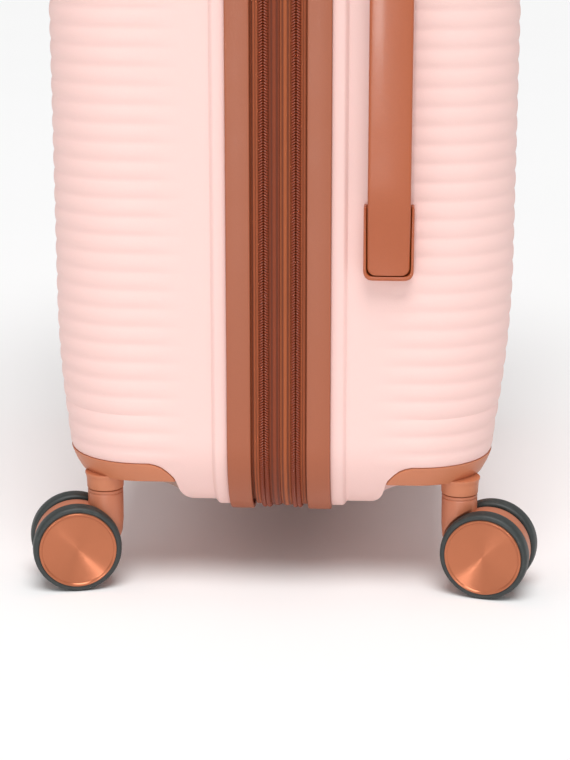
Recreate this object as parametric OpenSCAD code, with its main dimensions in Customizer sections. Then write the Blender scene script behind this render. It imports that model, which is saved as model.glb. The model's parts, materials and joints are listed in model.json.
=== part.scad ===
// Hard shell suitcase on four twin-wheel castors.
// Origin: on the floor under the middle of the case. +Z up, X across the width, Y through the depth.
// The side handle, the lock and the main zip's sliders are on the +X side, the lid hinge on the -X side.
// The lid half lies towards -Y, the back half with the telescopic handle towards +Y.

/* [Case] */
// Width across the trim strips
case_w = 380; // [330:1:480]
// Height of the trim outline, without the castors
case_h = 500; // [430:1:640]
// Height of the trim outline's lowest point above the floor
ground_gap = 40; // [37:1:48]
// Corner radius of the trim outline, seen from the lid side
corner_r = 50; // [50:1:60]
// Depth of the lid half, from the middle of the zips to its face
lid_depth = 127; // [112:1:160]
// Depth of the back half, from the middle of the zips to its face
back_depth = 128; // [112:1:160]
// Radius of the edge between a half's side walls and its face
edge_r = 45; // [38:1:45]
// Thickness of the shells
shell_wall = 2.2; // [1.6:0.1:3]
// Radius of the long arc that pulls the lid face in near its ends
lid_arc_r = 600; // [400:10:1200]
// Length of that arc above the lowest corner centre
lid_arc_len = 74; // [40:1:110]
// Radius of the long arc that pulls the back face in near its ends
back_arc_r = 620; // [400:10:1200]
// Length of that arc above the lowest corner centre
back_arc_len = 99; // [40:1:110]

/* [Trim and rims] */
// Half the width of the opening between the two trim strips
zip_gap = 15.3; // [14.5:0.1:20]
// Width of a trim strip
trim_w = 13; // [9:0.5:18]
// Thickness of a trim strip
trim_t = 2.8; // [2:0.1:3.5]
// Width of the raised rim strip of shell beside the trim
rim_w = 6.2; // [5:0.1:9]
// How far the rim strip lies below the trim
rim_drop = 2.5; // [2:0.1:3]
// How far the shell's side lies below the trim
shell_drop = 5; // [4.5:0.1:7]
// Depth of the step inside the rim strip that ties the rim to the side
step_t = 4; // [2:0.1:4.5]
// How far the shell's collar stays back from the trim's inner edge
collar_back = 1.7; // [1:0.1:3]

/* [Zips] */
// Place of the main zip, towards the lid
main_zip_y = -8; // [-9.6:0.1:-7]
// Place of the expansion zip, towards the back
side_zip_y = 9.3; // [8:0.1:11]
// Width of one half of a zip's teeth
coil_w = 2.5; // [2:0.1:3]
// Height of the teeth above their tape
coil_t = 4.4; // [3.8:0.1:5.3]
// Gap between the two halves of a closed zip
coil_gap = 0.2; // [0.1:0.05:0.4]
// Thickness of the zip tape
tape_t = 0.8; // [0.5:0.1:1]
// How far the tape runs under the trim
tape_lap = 8; // [5:0.5:10]
// Thickness of the fabric strip between the zips
strip_t = 3.4; // [2:0.1:4.2]
// Thickness of the gusset's and the hinge's cloth
cloth_t = 1; // [0.6:0.1:1.2]
// How far the case grows when the expansion zip is open
expansion = 25; // [15:1:40]
// Length of a zip slider's body
slider_l = 11; // [9:0.5:13]
// Width of a zip slider's body
slider_w = 8; // [7:0.5:9]
// Thickness of a slider's two plates
plate_t = 1.4; // [1:0.1:1.6]
// Width of the bridge that holds the pull tab
bridge_w = 3; // [2:0.1:3.6]
// Length of a zip's pull tab
tab_l = 36; // [25:1:43]
// Width of a zip's pull tab
tab_w = 8; // [6.5:0.5:9]
// Thickness of a zip's pull tab
tab_t = 1.6; // [1.2:0.1:2]

/* [Linings] */
// Thickness of the lining
lining_t = 1.2; // [0.8:0.1:2]
// Gap between shell and lining
lining_gap = 0.3; // [0.2:0.1:1]
// Width of the packing straps
pack_strap_w = 25; // [20:1:35]

/* [Castors] */
// Outer diameter of a wheel
wheel_d = 50; // [40:1:60]
// Width of one wheel
wheel_w = 11; // [9:0.5:13.5]
// Gap between the two wheels of a castor
wheel_gap = 12; // [10:0.5:14.5]
// Thickness of the tyre outside the wheel's round cap
tyre_t = 3.25; // [2.5:0.25:8]
// Distance from the swivel axis to the axle
trail = 17.5; // [14:0.5:20]
// Radius of the castor's stem
stem_r = 10; // [8:0.5:12]
// Radius of the axle
axle_r = 2; // [1.5:0.1:3]
// Radius of the swivel pin
pin_r = 4; // [3:0.1:5]
// Distance of the swivel axes from the side of the trim
swivel_in = 27; // [26:0.5:32]
// Distance of the swivel axes from the faces
swivel_face = 27.5; // [26:0.5:33]
// Height of a corner guard's edge
guard_h = 12; // [9:0.5:14.5]
// Wall of a corner guard
guard_wall = 3; // [2:0.1:4]
// How far a guard stands out of the shell
guard_proud = 0.8; // [0.2:0.1:1.2]
// Height of the socket under a guard
socket_h = 8; // [5:0.5:9.5]
// Wall of the socket beyond the stem
socket_wall = 2.5; // [1.5:0.1:4]

/* [Carry handles] */
// Length of a carry handle from tray end to tray end
handle_l = 210; // [180:1:230]
// Width of the strap
strap_w = 22.8; // [18:0.1:28]
// Thickness of the strap
strap_th = 4.4; // [3:0.1:6]
// Height of the strap's underside above the shell
strap_lift = 9.5; // [8:0.5:14]
// Distance of the handles from the middle of the zips
handle_y = 59; // [55:1:64]
// Width of the rim of an end tray beside the strap
tray_rim = 1.55; // [1:0.05:3]
// Length of an end tray
tray_l = 40; // [34:1:48]
// Height of the end trays
tray_t = 9; // [7:0.5:10.5]

/* [Telescopic handle] */
// Distance between the two tubes
tube_pitch = 120; // [90:1:150]
// Outer radius of the fixed sleeves
sleeve_r = 9; // [7.5:0.1:11]
// Wall of every tube
tube_wall = 1.4; // [1:0.1:1.7]
// Distance of the tubes from the back face
tube_in = 28; // [27:0.5:34]
// Travel of each stage
stage_travel = 225; // [120:1:250]
// Length that stays inside the next tube when a stage is out
stage_overlap = 120; // [60:1:120]
// How far the grip reaches past the tubes' axes
grip_end = 12; // [11:0.5:20]
// Depth of the grip, front to back
grip_d = 20; // [17:0.5:24]
// Height of the grip
grip_h = 20; // [16:0.5:24]
// Length of the release button
button_l = 26; // [18:1:40]
// Width of the release button
button_w = 9; // [7:0.5:11]
// Travel of the release button
button_travel = 3; // [2:0.5:4]
// Wall of the cup that the grip parks in
cup_wall = 1.8; // [1.2:0.1:2.5]

/* [Lock] */
// Length of the lock
lock_l = 58; // [56:1:70]
// Width of the lock
lock_w = 24; // [20:0.5:28]
// Height of the lock above the shell
lock_t = 7.5; // [7:0.5:9]
// Radius of the number dials
dial_r = 5.2; // [4.5:0.1:6.3]
// Thickness of a number dial
dial_t = 5; // [4:0.5:6]
// Distance between two dials
dial_pitch = 8; // [7.5:0.5:9]
// How far the dials stand out of the lock
dial_proud = 1.6; // [0.8:0.1:2.4]
// Radius of the shaft that the dials turn on
dial_shaft_r = 1.4; // [1:0.1:2]
// Width of the lock's latch
latch_w = 10; // [8:0.5:13]
// Length of the lock's latch
latch_l = 12; // [9:0.5:12]
// Travel of the lock's latch
latch_travel = 4; // [2:0.5:4]
// Distance of the lock's middle from the middle of the zips
lock_y = 50; // [49:0.5:54]

/* [Clearances] */
// Radial gap of shafts and tubes that slide or turn in each other
running_fit = 0.08; // [0.02:0.01:0.1]
// Gap between pieces that move past each other
move_gap = 0.5; // [0.3:0.1:1]
// Gap between the turning wheels and the wall of their recess, at the shell's lowest edge
castor_gap = 7.3; // [4:0.1:9]
// Height between a wheel's top and the socket above it
wheel_head = 7; // [5:0.5:10]
// Gap between pieces that are glued or pressed into the shell
seam = 0.1; // [0.05:0.05:0.3]
// Gap between a slider's plates and the teeth or tape between them
slider_gap = 0.35; // [0.2:0.05:0.5]

/* [Hidden] */
$fn = 64;

LID = -1;
BACK = 1;
corner_steps = 8;                             // flats in a quarter turn of a form's corner
edge_steps = 7;                               // flats across a form's rounded edge
edge_turn = 84;                               // where the rounded edge runs into the flat face
arc_steps = 3;                                // flats in each long end arc
skin = 0.01;                                  // overlap that makes two cuts meet
far = 600;                                    // longer than any cut needs

case_mid_z = ground_gap + case_h / 2;
case_top_z = ground_gap + case_h;
shell_corner_r = corner_r - shell_drop;
corner_x = case_w / 2 - corner_r;             // centres of the corner rounding
corner_low_z = ground_gap + corner_r;
corner_top_z = case_top_z - corner_r;
edge_in = shell_corner_r - edge_r;            // how far the edge rounding's centre lies beyond them
side_x = case_w / 2 - shell_drop;             // the shell's side
shell_top_z = case_top_z - shell_drop;

trim_end = zip_gap + trim_w;                  // where the rim strip starts
rim_end = trim_end + rim_w;                   // where the rim strip ends
collar_y = zip_gap + collar_back;
step_y = rim_end - step_t;
tape_in = shell_drop + 2 * seam;              // inset of the zip tapes' outer face
tape_low = tape_in + tape_t;                  // inset of the zip tapes' inner face

wheel_r = wheel_d / 2;
cap_r = wheel_r - tyre_t;
wheel_in = wheel_gap / 2;
wheel_out = wheel_in + wheel_w;
shell_low_z = ground_gap + shell_drop;
wheel_reach = sqrt(wheel_r ^ 2 - max(0, shell_low_z - wheel_r) ^ 2);   // half a wheel's chord there
recess_r = norm([trail + wheel_reach, wheel_out]) + castor_gap;
socket_low_z = wheel_d + wheel_head;
guard_low_z = socket_low_z + socket_h;
guard_top_z = guard_low_z + guard_h;
stem_top_z = socket_low_z - move_gap;
swivel_x = case_w / 2 - swivel_in;

tube_y = back_depth - tube_in;
tube_step = tube_wall + running_fit;
lower_tube_r = sleeve_r - tube_step;
upper_tube_r = lower_tube_r - tube_step;
lining_floor = tube_y - sleeve_r - 3 * move_gap;   // the back lining passes in front of the sleeves
lock_mid_z = corner_top_z - lock_l / 2 - 9;

// how far a face is pulled in at a height, from its long end arcs
function pull(z, arc_r, arc_len) =
  let (low = corner_low_z + arc_len - z, high = z - (corner_top_z - arc_len))
  max(0, low, high) ^ 2 / (2 * arc_r);

function arc_len(s) = s == LID ? lid_arc_len : back_arc_len;
function arc_r(s) = s == LID ? lid_arc_r : back_arc_r;
function face_y(s) = s == LID ? lid_depth : back_depth;
function swivel_y(s) = s * (face_y(s) - swivel_face);

// reach of the back shell's edge rounding beyond a corner centre, at a depth and an inset
function edge_reach(y, inset) =
  let (mid_y = back_depth - edge_r - pull(corner_low_z, back_arc_r, back_arc_len))
  edge_in + sqrt((edge_r - inset) ^ 2 - max(0, y - mid_y) ^ 2);
function top_at(y) = corner_top_z + edge_reach(y, 0);
function floor_at(y) = corner_low_z - edge_reach(y, shell_wall);

// ---------- shared shapes ----------

module rounded_plate(w, h, r) {
  square([w - 2 * r, h], center = true);
  square([w, h - 2 * r], center = true);
  for (sx = [-1, 1], sy = [-1, 1])
    translate([sx * (w / 2 - r), sy * (h / 2 - r)]) circle(r);
}

module outline(inset) {
  rounded_plate(case_w - 2 * inset, case_h - 2 * inset, corner_r - inset);
}

// lays a flat drawing upright and thickens it from y0 to y1
module along_y(y0, y1) {
  translate([0, y1, case_mid_z]) rotate([90, 0, 0]) linear_extrude(y1 - y0) children();
}

// a ring that follows the trim outline, from one inset to a deeper one
module ring(y0, y1, outer, inner) {
  along_y(min(y0, y1), max(y0, y1)) difference() {
    outline(outer);
    outline(inner);
  }
}

module slab(x, y, z) {
  translate([x[0], y[0], z[0]]) cube([x[1] - x[0], y[1] - y[0], z[1] - z[0]]);
}

// One half of the form's outline, as [centre x, centre z, direction x, direction z]:
// the lower corner, the levels where the long end arcs start and bend, and the upper corner.
function rim_points(s) = [
  for (i = [0 : corner_steps]) let (a = -90 + 90 * i / corner_steps)
    [corner_x, corner_low_z, cos(a), sin(a)],
  for (i = [1 : arc_steps]) [corner_x, corner_low_z + arc_len(s) * i / arc_steps, 1, 0],
  for (i = [arc_steps : -1 : 1]) [corner_x, corner_top_z - arc_len(s) * i / arc_steps, 1, 0],
  for (i = [0 : corner_steps]) let (a = 90 * i / corner_steps)
    [corner_x, corner_top_z, cos(a), sin(a)]
];

// the closed form of one half, from its mouth to its face, shrunk by an inset
module half_form(s, depth, mouth, inset) {
  r = edge_r - inset;
  right = rim_points(s);
  n = len(right);
  around = 2 * n;
  turns = [for (i = [0 : edge_steps]) edge_turn * i / edge_steps];
  function place(k, reach, y, sx) =
    [sx * (right[k][0] + reach * right[k][2]), y, right[k][1] + reach * right[k][3]];
  function ring_points(turn, y_at) = let (reach = edge_in + r * cos(turn)) concat(
    [for (k = [0 : n - 1]) place(k, reach, y_at[k], 1)],
    [for (k = [n - 1 : -1 : 0]) place(k, reach, y_at[k], -1)]
  );
  start = [for (k = [0 : n - 1]) depth - edge_r - pull(right[k][1], arc_r(s), arc_len(s))];
  points = concat(
    ring_points(0, [for (k = [0 : n - 1]) mouth]),
    [for (turn = turns) each ring_points(turn, [for (y = start) y + r * sin(turn)])]
  );
  rows = len(turns);
  walls = [
    for (j = [0 : rows - 1], i = [0 : around - 1])
      let (a = j * around + i, b = j * around + (i + 1) % around, c = b + around, d = a + around)
      each [[a, b, c], [a, c, d]]
  ];
  face = rows * around;
  face_strips = [for (k = [0 : n - 2]) each [
    [face + k, face + k + 1, face + around - 2 - k],
    [face + k, face + around - 2 - k, face + around - 1 - k]
  ]];
  mouth_cap = [[for (i = [around - 1 : -1 : 0]) i]];
  mirror([0, s == LID ? 1 : 0, 0]) polyhedron(points, concat(walls, face_strips, mouth_cap));
}

// the two round recesses that the castors of one half turn in
module recesses(s, grow, top) {
  depth = 10;
  for (sx = [-1, 1])
    translate([sx * swivel_x, swivel_y(s), ground_gap - depth])
      cylinder(r = recess_r + grow, h = top - ground_gap + depth);
}

// ---------- shells, trims and linings ----------

module half_shell(s) {
  difference() {
    union() {
      half_form(s, face_y(s), step_y, 0);
      ring(s * collar_y, s * trim_end, trim_t, tape_in);
      ring(s * trim_end, s * rim_end, rim_drop, tape_in);
      ring(s * step_y, s * rim_end, rim_drop, shell_drop + shell_wall);
    }
    half_form(s, face_y(s), step_y - 2, shell_wall);
    recesses(s, 0, guard_top_z);
    if (s == BACK) {
      cup_hole();
      dial_space();
    }
  }
  // the shell's roof and wall over each castor recess
  intersection() {
    half_form(s, face_y(s), step_y, shell_wall / 2);
    difference() {
      recesses(s, shell_wall, guard_top_z + shell_wall);
      recesses(s, 0, guard_top_z);
    }
  }
}

module trim_strip(s) {
  ring(s * zip_gap, s * trim_end, 0, trim_t);
}

module half_lining(s, depth) {
  mouth = trim_end - 2;
  well = shell_wall + lining_gap;
  difference() {
    half_form(s, depth, mouth, well);
    half_form(s, depth, mouth - 2, well + lining_t);
    recesses(s, well, guard_top_z + well);
    if (s == BACK) dial_space();
  }
  intersection() {
    half_form(s, depth, mouth, well + lining_t / 2);
    difference() {
      recesses(s, well + lining_t, guard_top_z + well + lining_t);
      recesses(s, well, guard_top_z + well);
    }
  }
}

module back_shell() { color([0.98, 0.85, 0.82]) half_shell(BACK); }
module lid_shell() { color([0.98, 0.85, 0.82]) half_shell(LID); }
module back_trim() { color([0.73, 0.42, 0.31]) trim_strip(BACK); }
module lid_trim() { color([0.73, 0.42, 0.31]) trim_strip(LID); }
module back_lining() { color([0.80, 0.72, 0.68]) half_lining(BACK, lining_floor); }
module lid_lining() { color([0.80, 0.72, 0.68]) half_lining(LID, lid_depth); }

// two packing straps that cross on the back lining's floor
module packing_straps() {
  strap_t = 1.5;
  above_floor = 1;
  slope = 35;
  reach = 2 * (corner_x - 20);
  floor_y = lining_floor - shell_wall - lining_gap - lining_t - above_floor;
  color([0.35, 0.20, 0.15]) translate([0, floor_y, case_mid_z]) rotate([90, 0, 0])
    linear_extrude(strap_t) for (turn = [-slope, slope])
      rotate(turn) square([reach, pack_strap_w], center = true);
}

// ---------- corner guards ----------

module guard_block(s, sx, inset, grow, z0, z1) {
  intersection() {
    half_form(s, face_y(s), step_y, inset);
    translate([sx * swivel_x, swivel_y(s), z0]) cylinder(r = recess_r + grow, h = z1 - z0);
  }
}

module guard(s, sx) {
  to_pin = [sx * swivel_x, swivel_y(s), 0];
  boss_wall = 4;
  difference() {
    union() {
      difference() {
        guard_block(s, sx, -guard_proud, -seam, guard_low_z, guard_top_z - seam);
        guard_block(s, sx, guard_wall, -guard_wall, guard_low_z + guard_wall, guard_top_z + 1);
      }
      translate(to_pin + [0, 0, guard_low_z]) cylinder(r = pin_r + boss_wall, h = guard_h - seam);
      translate(to_pin + [0, 0, socket_low_z]) cylinder(r = stem_r + socket_wall, h = socket_h + 1);
    }
    translate(to_pin + [0, 0, socket_low_z - 1]) cylinder(r = pin_r + running_fit, h = far);
  }
}

module guards(s) {
  color([0.73, 0.43, 0.32]) for (sx = [-1, 1]) guard(s, sx);
}

module back_guards() { guards(BACK); }
module lid_guards() { guards(LID); }

// ---------- zips, fabric strip and gusset ----------

mid_edge = 0.6;                               // half the gap between the two middle tapes
sew_gap = 0.2;                                // between the teeth and the fabric strip
gusset_in = tape_low + slider_gap + plate_t + move_gap;   // the sliders' inner plates run outside it

// one half of a zip: teeth beside the zip's middle, tape running away from it
module zip_half(mid_y, s, tape_end) {
  near = mid_y + s * coil_gap / 2;
  ring(near, near + s * coil_w, tape_in - coil_t, tape_in + tape_t / 2);
  ring(near, tape_end, tape_in, tape_low);
}

module back_zip_half() {
  color([0.50, 0.25, 0.15]) zip_half(side_zip_y, BACK, zip_gap + tape_lap);
}
module lid_zip_half() {
  color([0.50, 0.25, 0.15]) zip_half(main_zip_y, LID, -zip_gap - tape_lap);
}
module mid_zip_halves() {
  color([0.50, 0.25, 0.15]) {
    zip_half(main_zip_y, BACK, -mid_edge);
    zip_half(side_zip_y, LID, mid_edge);
  }
}

module strip_between_zips() {
  first = main_zip_y + coil_gap / 2 + coil_w + sew_gap;
  last = side_zip_y - coil_gap / 2 - coil_w - sew_gap;
  color([0.65, 0.37, 0.23]) ring(first, last, tape_in - strip_t, tape_in);
}

// the expansion gusset: sewn to the tapes at both edges, its spare cloth a pleat inside the mouth
module gusset() {
  seam_w = 2;
  last = zip_gap + tape_lap - 3;
  pleat_y = (mid_edge + last) / 2 - cloth_t;
  color([0.62, 0.36, 0.24]) {
    ring(mid_edge, last, gusset_in, gusset_in + cloth_t);
    ring(mid_edge, mid_edge + seam_w, tape_low, gusset_in + skin);
    ring(last - seam_w, last, tape_low, gusset_in + skin);
    ring(pleat_y, pleat_y + 2 * cloth_t, gusset_in + skin, gusset_in + cloth_t + expansion / 2);
  }
}

// the fabric that holds lid and back together on the hinge side
module hinge_fabric() {
  end_gap = 15;
  x = -case_w / 2 + tape_low;
  color([0.62, 0.36, 0.24])
    slab([x, x + cloth_t], [-zip_gap - 5, -mid_edge + 0.2],
         [corner_low_z + end_gap, corner_top_z - end_gap]);
}

// ---------- carry handles ----------

tray_w = strap_w + 2 * (move_gap + tray_rim);
tray_floor = 3;

// an end tray, drawn standing on z = 0 with the handle running along +x from its outer end
module tray() {
  pocket_w = strap_w + 2 * move_gap;
  end_wall = 2.5;
  difference() {
    translate([tray_l / 2, 0, 0]) linear_extrude(tray_t) rounded_plate(tray_l, tray_w, 4);
    translate([end_wall, -pocket_w / 2, tray_floor]) cube([tray_l, pocket_w, tray_t]);
  }
}

// the strap between two trays: a flat bar whose ends step down into them
module strap() {
  foot = 3.5;
  foot_t = 3.2;
  low = tray_floor + move_gap;
  top = strap_lift + strap_th;
  foot_end = tray_l - 2;
  ramp = tray_l + 22;
  side = [
    [foot, low], [foot_end, low], [ramp, strap_lift], [handle_l - ramp, strap_lift],
    [handle_l - foot_end, low], [handle_l - foot, low], [handle_l - foot, low + foot_t],
    [handle_l - ramp + 4, top], [ramp - 4, top], [foot, low + foot_t]
  ];
  translate([0, strap_w / 2, 0]) rotate([90, 0, 0]) linear_extrude(strap_w) polygon(side);
}

module on_side() {
  translate([side_x, handle_y, case_mid_z - handle_l / 2])
    multmatrix([[0, 0, 1, 0], [0, 1, 0, 0], [1, 0, 0, 0], [0, 0, 0, 1]]) children();
}
module on_top() {
  translate([-handle_l / 2, handle_y, shell_top_z]) children();
}
module tray_pair() {
  tray();
  translate([handle_l, 0, 0]) rotate([0, 0, 180]) tray();
}

module side_handle_trays() { color([0.75, 0.44, 0.30]) on_side() tray_pair(); }
module top_handle_trays() { color([0.75, 0.44, 0.30]) on_top() tray_pair(); }
module side_handle_strap() { color([0.77, 0.46, 0.33]) on_side() strap(); }
module top_handle_strap() { color([0.77, 0.46, 0.33]) on_top() strap(); }

// ---------- telescopic handle ----------

cup_floor_t = 3;
cup_lip = 4.2;
grip_corner = 5.5;
grip_w = tube_pitch + 2 * grip_end;
grip_low_z = top_at(tube_y) - grip_h;
cup_floor_z = grip_low_z - 5;
sleeve_low_z = floor_at(tube_y + sleeve_r) + move_gap;
tubes_low_z = grip_low_z - stage_travel - stage_overlap;

// an upright block round the grip's outline, grown by an amount, from a height upwards
module grip_block(grow, z) {
  translate([0, tube_y, z]) linear_extrude(far)
    rounded_plate(grip_w + 2 * grow, grip_d + 2 * grow, grip_corner + grow);
}

module tube_pair(r, wall, z0, z1) {
  for (sx = [-1, 1]) translate([sx * tube_pitch / 2, tube_y, z0]) difference() {
    cylinder(r = r, h = z1 - z0);
    translate([0, 0, -1]) cylinder(r = r - wall, h = z1 - z0 + 2);
  }
}

module cup_hole() {
  grip_block(move_gap + cup_wall + 2 * seam, cup_floor_z - cup_floor_t - 1);
}

// the cup in the top of the back shell that the grip parks in
module trolley_cup() {
  color([0.73, 0.43, 0.32]) difference() {
    intersection() {
      half_form(BACK, back_depth, step_y, -1.2);
      union() {
        grip_block(move_gap + cup_wall, cup_floor_z - cup_floor_t);
        difference() {
          grip_block(move_gap + cup_wall + cup_lip, cup_floor_z);
          half_form(BACK, back_depth, step_y, -seam);
        }
      }
    }
    grip_block(move_gap, cup_floor_z);
    for (sx = [-1, 1]) translate([sx * tube_pitch / 2, tube_y, cup_floor_z - cup_floor_t - 1])
      cylinder(r = lower_tube_r + running_fit, h = cup_floor_t + 2);
  }
}

module trolley_sleeves() {
  color([0.55, 0.55, 0.57]) tube_pair(sleeve_r, tube_wall, sleeve_low_z, cup_floor_z - cup_floor_t);
}
module trolley_lower_tubes() {
  color([0.78, 0.78, 0.80]) tube_pair(lower_tube_r, tube_wall, tubes_low_z, grip_low_z - 2 * move_gap);
}
module trolley_upper_tubes() {
  color([0.85, 0.85, 0.87]) tube_pair(upper_tube_r, tube_wall, tubes_low_z + 6, grip_low_z);
}

button_pocket = 8;                            // depth of the button's pocket in the grip

module trolley_grip() {
  color([0.73, 0.43, 0.32]) difference() {
    intersection() {
      half_form(BACK, back_depth, step_y, -0.6);
      grip_block(0, grip_low_z);
    }
    translate([0, tube_y, top_at(tube_y) - button_pocket]) linear_extrude(far)
      rounded_plate(button_l + 2 * move_gap, button_w + 2 * move_gap, 3 + move_gap);
  }
}

module release_button() {
  above_grip = 1.1;
  low_z = top_at(tube_y) - button_pocket + button_travel + move_gap;
  color([0.60, 0.33, 0.24]) translate([0, tube_y, low_z])
    linear_extrude(button_pocket + above_grip - move_gap - button_travel)
      rounded_plate(button_l, button_w, 3);
}

// ---------- lock ----------

lock_face_x = side_x + lock_t;
dial_x = lock_face_x - dial_r + dial_proud;
latch_z = lock_mid_z - lock_l / 2 + 6;
dials_z = lock_mid_z + 8;
slot_t = dial_t + 2 * move_gap;
shaft_l = 2 * (dial_pitch + slot_t);
latch_in = 3;                                 // how far the latch reaches into the lock

// the room that the three dials turn in
module dial_space() {
  room = 2 * dial_pitch + slot_t;
  translate([dial_x, lock_y, dials_z - room / 2]) cylinder(r = dial_r + move_gap, h = room);
}

module dial_shaft() {
  translate([dial_x, lock_y, dials_z - shaft_l / 2]) cylinder(r = dial_shaft_r, h = shaft_l);
}

module lock_body() {
  color([0.62, 0.35, 0.25]) {
    difference() {
      translate([side_x, lock_y, lock_mid_z]) rotate([0, 90, 0])
        linear_extrude(lock_t) rounded_plate(lock_l, lock_w, 6);
      for (i = [-1 : 1]) translate([dial_x, lock_y, dials_z + i * dial_pitch - slot_t / 2])
        cylinder(r = dial_r + move_gap, h = slot_t);
      dial_shaft();
      slab([lock_face_x - latch_in, lock_face_x + far],
           [lock_y - latch_w / 2 - move_gap, lock_y + latch_w / 2 + move_gap],
           [latch_z - move_gap, latch_z + latch_l + latch_travel + move_gap]);
    }
    dial_shaft();
  }
}

module lock_dial(i) {
  color([0.85, 0.82, 0.78]) translate([dial_x, lock_y, dials_z + i * dial_pitch - dial_t / 2])
    difference() {
      cylinder(r = dial_r, h = dial_t);
      translate([0, 0, -1]) cylinder(r = dial_shaft_r + running_fit, h = dial_t + 2);
    }
}

module lock_latch() {
  proud = 1.5;
  color([0.75, 0.72, 0.68])
    slab([lock_face_x - latch_in + move_gap, lock_face_x + proud],
         [lock_y - latch_w / 2, lock_y + latch_w / 2], [latch_z, latch_z + latch_l]);
}

// ---------- zip sliders and pull tabs ----------

teeth_in = tape_in - coil_t;                  // inset of the teeth's outer face
bridge_wall = 1.1;
bridge_l = slider_w - 2;
bridge_h = tab_t + 2 * move_gap + bridge_wall;
bridge_low = slider_gap + plate_t;
pivot_h = bridge_low + move_gap + tab_t / 2;  // height of the tab's bar above the teeth
eye_l = norm([bridge_l / 2, bridge_low + bridge_h - pivot_h]) + move_gap;
main_upper_z = lock_mid_z + 6;
main_lower_z = main_upper_z - slider_l - 3 * move_gap;
expansion_x = corner_x - 20;

// a slider at the origin: teeth run along z, outside towards +x, its nose towards +z
module slider_body() {
  under = -coil_t - tape_t - slider_gap;
  plate_y = [-slider_w / 2, slider_w / 2];
  plate_z = [-slider_l / 2, slider_l / 2];
  bridge_z = [-bridge_w / 2, bridge_w / 2];
  slab([slider_gap, bridge_low], plate_y, plate_z);
  slab([under - plate_t, under], plate_y, plate_z);
  difference() {
    slab([bridge_low - skin, bridge_low + bridge_h], [-bridge_l / 2, bridge_l / 2], bridge_z);
    slab([bridge_low, bridge_low + bridge_h - bridge_wall],
         [-bridge_l / 2 + bridge_wall, bridge_l / 2 - bridge_wall], [-far, far]);
  }
  // the wedge between the plates, in the gap at the slider's nose
  slab([under - skin, slider_gap + skin],
       [-coil_gap / 2 + 0.04, coil_gap / 2 - 0.04], [1, slider_l / 2]);
}

// a tab lying along +y: a round bar under the bridge, a leg on each side of it, then the pull
module tab_body() {
  leg_in = bridge_w / 2 + move_gap * 0.6;
  leg_out = tab_w / 2 - 1;
  low = pivot_h - tab_t / 2;
  translate([pivot_h, 0, -leg_out]) cylinder(r = tab_t / 2, h = 2 * leg_out);
  for (leg = [[-leg_out, -leg_in], [leg_in, leg_out]]) slab([low, low + tab_t], [0, eye_l + 1], leg);
  translate([low, (tab_l + eye_l) / 2, 0]) rotate([0, 90, 0]) linear_extrude(tab_t)
    rounded_plate(tab_w, tab_l - eye_l, 3);
}

module on_main_zip(z) {
  color([0.60, 0.35, 0.22]) translate([case_w / 2 - teeth_in, main_zip_y, z]) children();
}
module on_expansion_zip() {
  color([0.60, 0.35, 0.22]) translate([expansion_x, side_zip_y, case_top_z - teeth_in])
    rotate([0, 0, 180]) rotate([0, -90, 0]) children();
}
module main_slider(z) { on_main_zip(z) slider_body(); }
module main_tab(z) { on_main_zip(z) tab_body(); }
module expansion_slider() { on_expansion_zip() slider_body(); }
module expansion_tab() { on_expansion_zip() tab_body(); }

// ---------- castors ----------

// place: [side of the case in x, half of the case, rest heading of the trailing wheels]
LID_RIGHT = [1, LID, -78];
LID_LEFT = [-1, LID, -105];
BACK_RIGHT = [1, BACK, 75.5];
BACK_LEFT = [-1, BACK, -120];

// puts a castor drawn on the swivel axis, wheels trailing towards +x, in its place
module castor(place) {
  translate([place[0] * swivel_x, swivel_y(place[1]), 0]) rotate([0, 0, place[2]]) children();
}

module across(r, y0, y1) {
  translate([trail, y1, wheel_r]) rotate([90, 0, 0]) cylinder(r = r, h = y1 - y0);
}

module fork(place) {
  fender_half = wheel_in - 1.6;
  fender_r = wheel_r - 1.5;
  scoop_r = wheel_r + 1;
  scoop_in = wheel_in - 0.8;
  stem_low_z = scoop_r;
  color([0.70, 0.41, 0.30]) castor(place) difference() {
    union() {
      difference() {
        translate([0, 0, stem_low_z]) cylinder(r = stem_r, h = stem_top_z - stem_low_z);
        across(scoop_r, scoop_in, far);
        across(scoop_r, -far, -scoop_in);
      }
      across(fender_r, -fender_half, fender_half);
      translate([0, 0, stem_top_z - skin])
        cylinder(r = pin_r, h = guard_top_z - stem_top_z - 1);
    }
    across(axle_r, -far, far);
    // the fender is open towards the floor
    slab([trail - wheel_r, trail + wheel_r], [-wheel_gap, wheel_gap], [-5, wheel_r - 9]);
  }
}

axle_back = 2.5;                              // how far the axle ends behind the caps' rims

module axle(place) {
  color([0.75, 0.75, 0.77]) castor(place) across(axle_r, -wheel_out + axle_back, wheel_out - axle_back);
}

// turns a wheel's section about its own axis and puts it on the axle, on side +1 or -1
module wheel_section(side) {
  translate([trail, side * wheel_in, wheel_r]) rotate([-90 * side, 0, 0])
    rotate_extrude() children();
}

module tyre(place, side) {
  low = 0.6;                                  // the tyre is this much narrower than the hub, a side
  high = wheel_w - low;
  color([0.16, 0.18, 0.18]) castor(place) wheel_section(side)
    polygon([
      [cap_r, low], [wheel_r - 1.6, low], [wheel_r - 0.5, low + 0.8], [wheel_r, low + 2.4],
      [wheel_r, high - 2.4], [wheel_r - 0.5, high - 0.8], [wheel_r - 1.6, high],
      [cap_r, high]
    ]);
}

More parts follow.
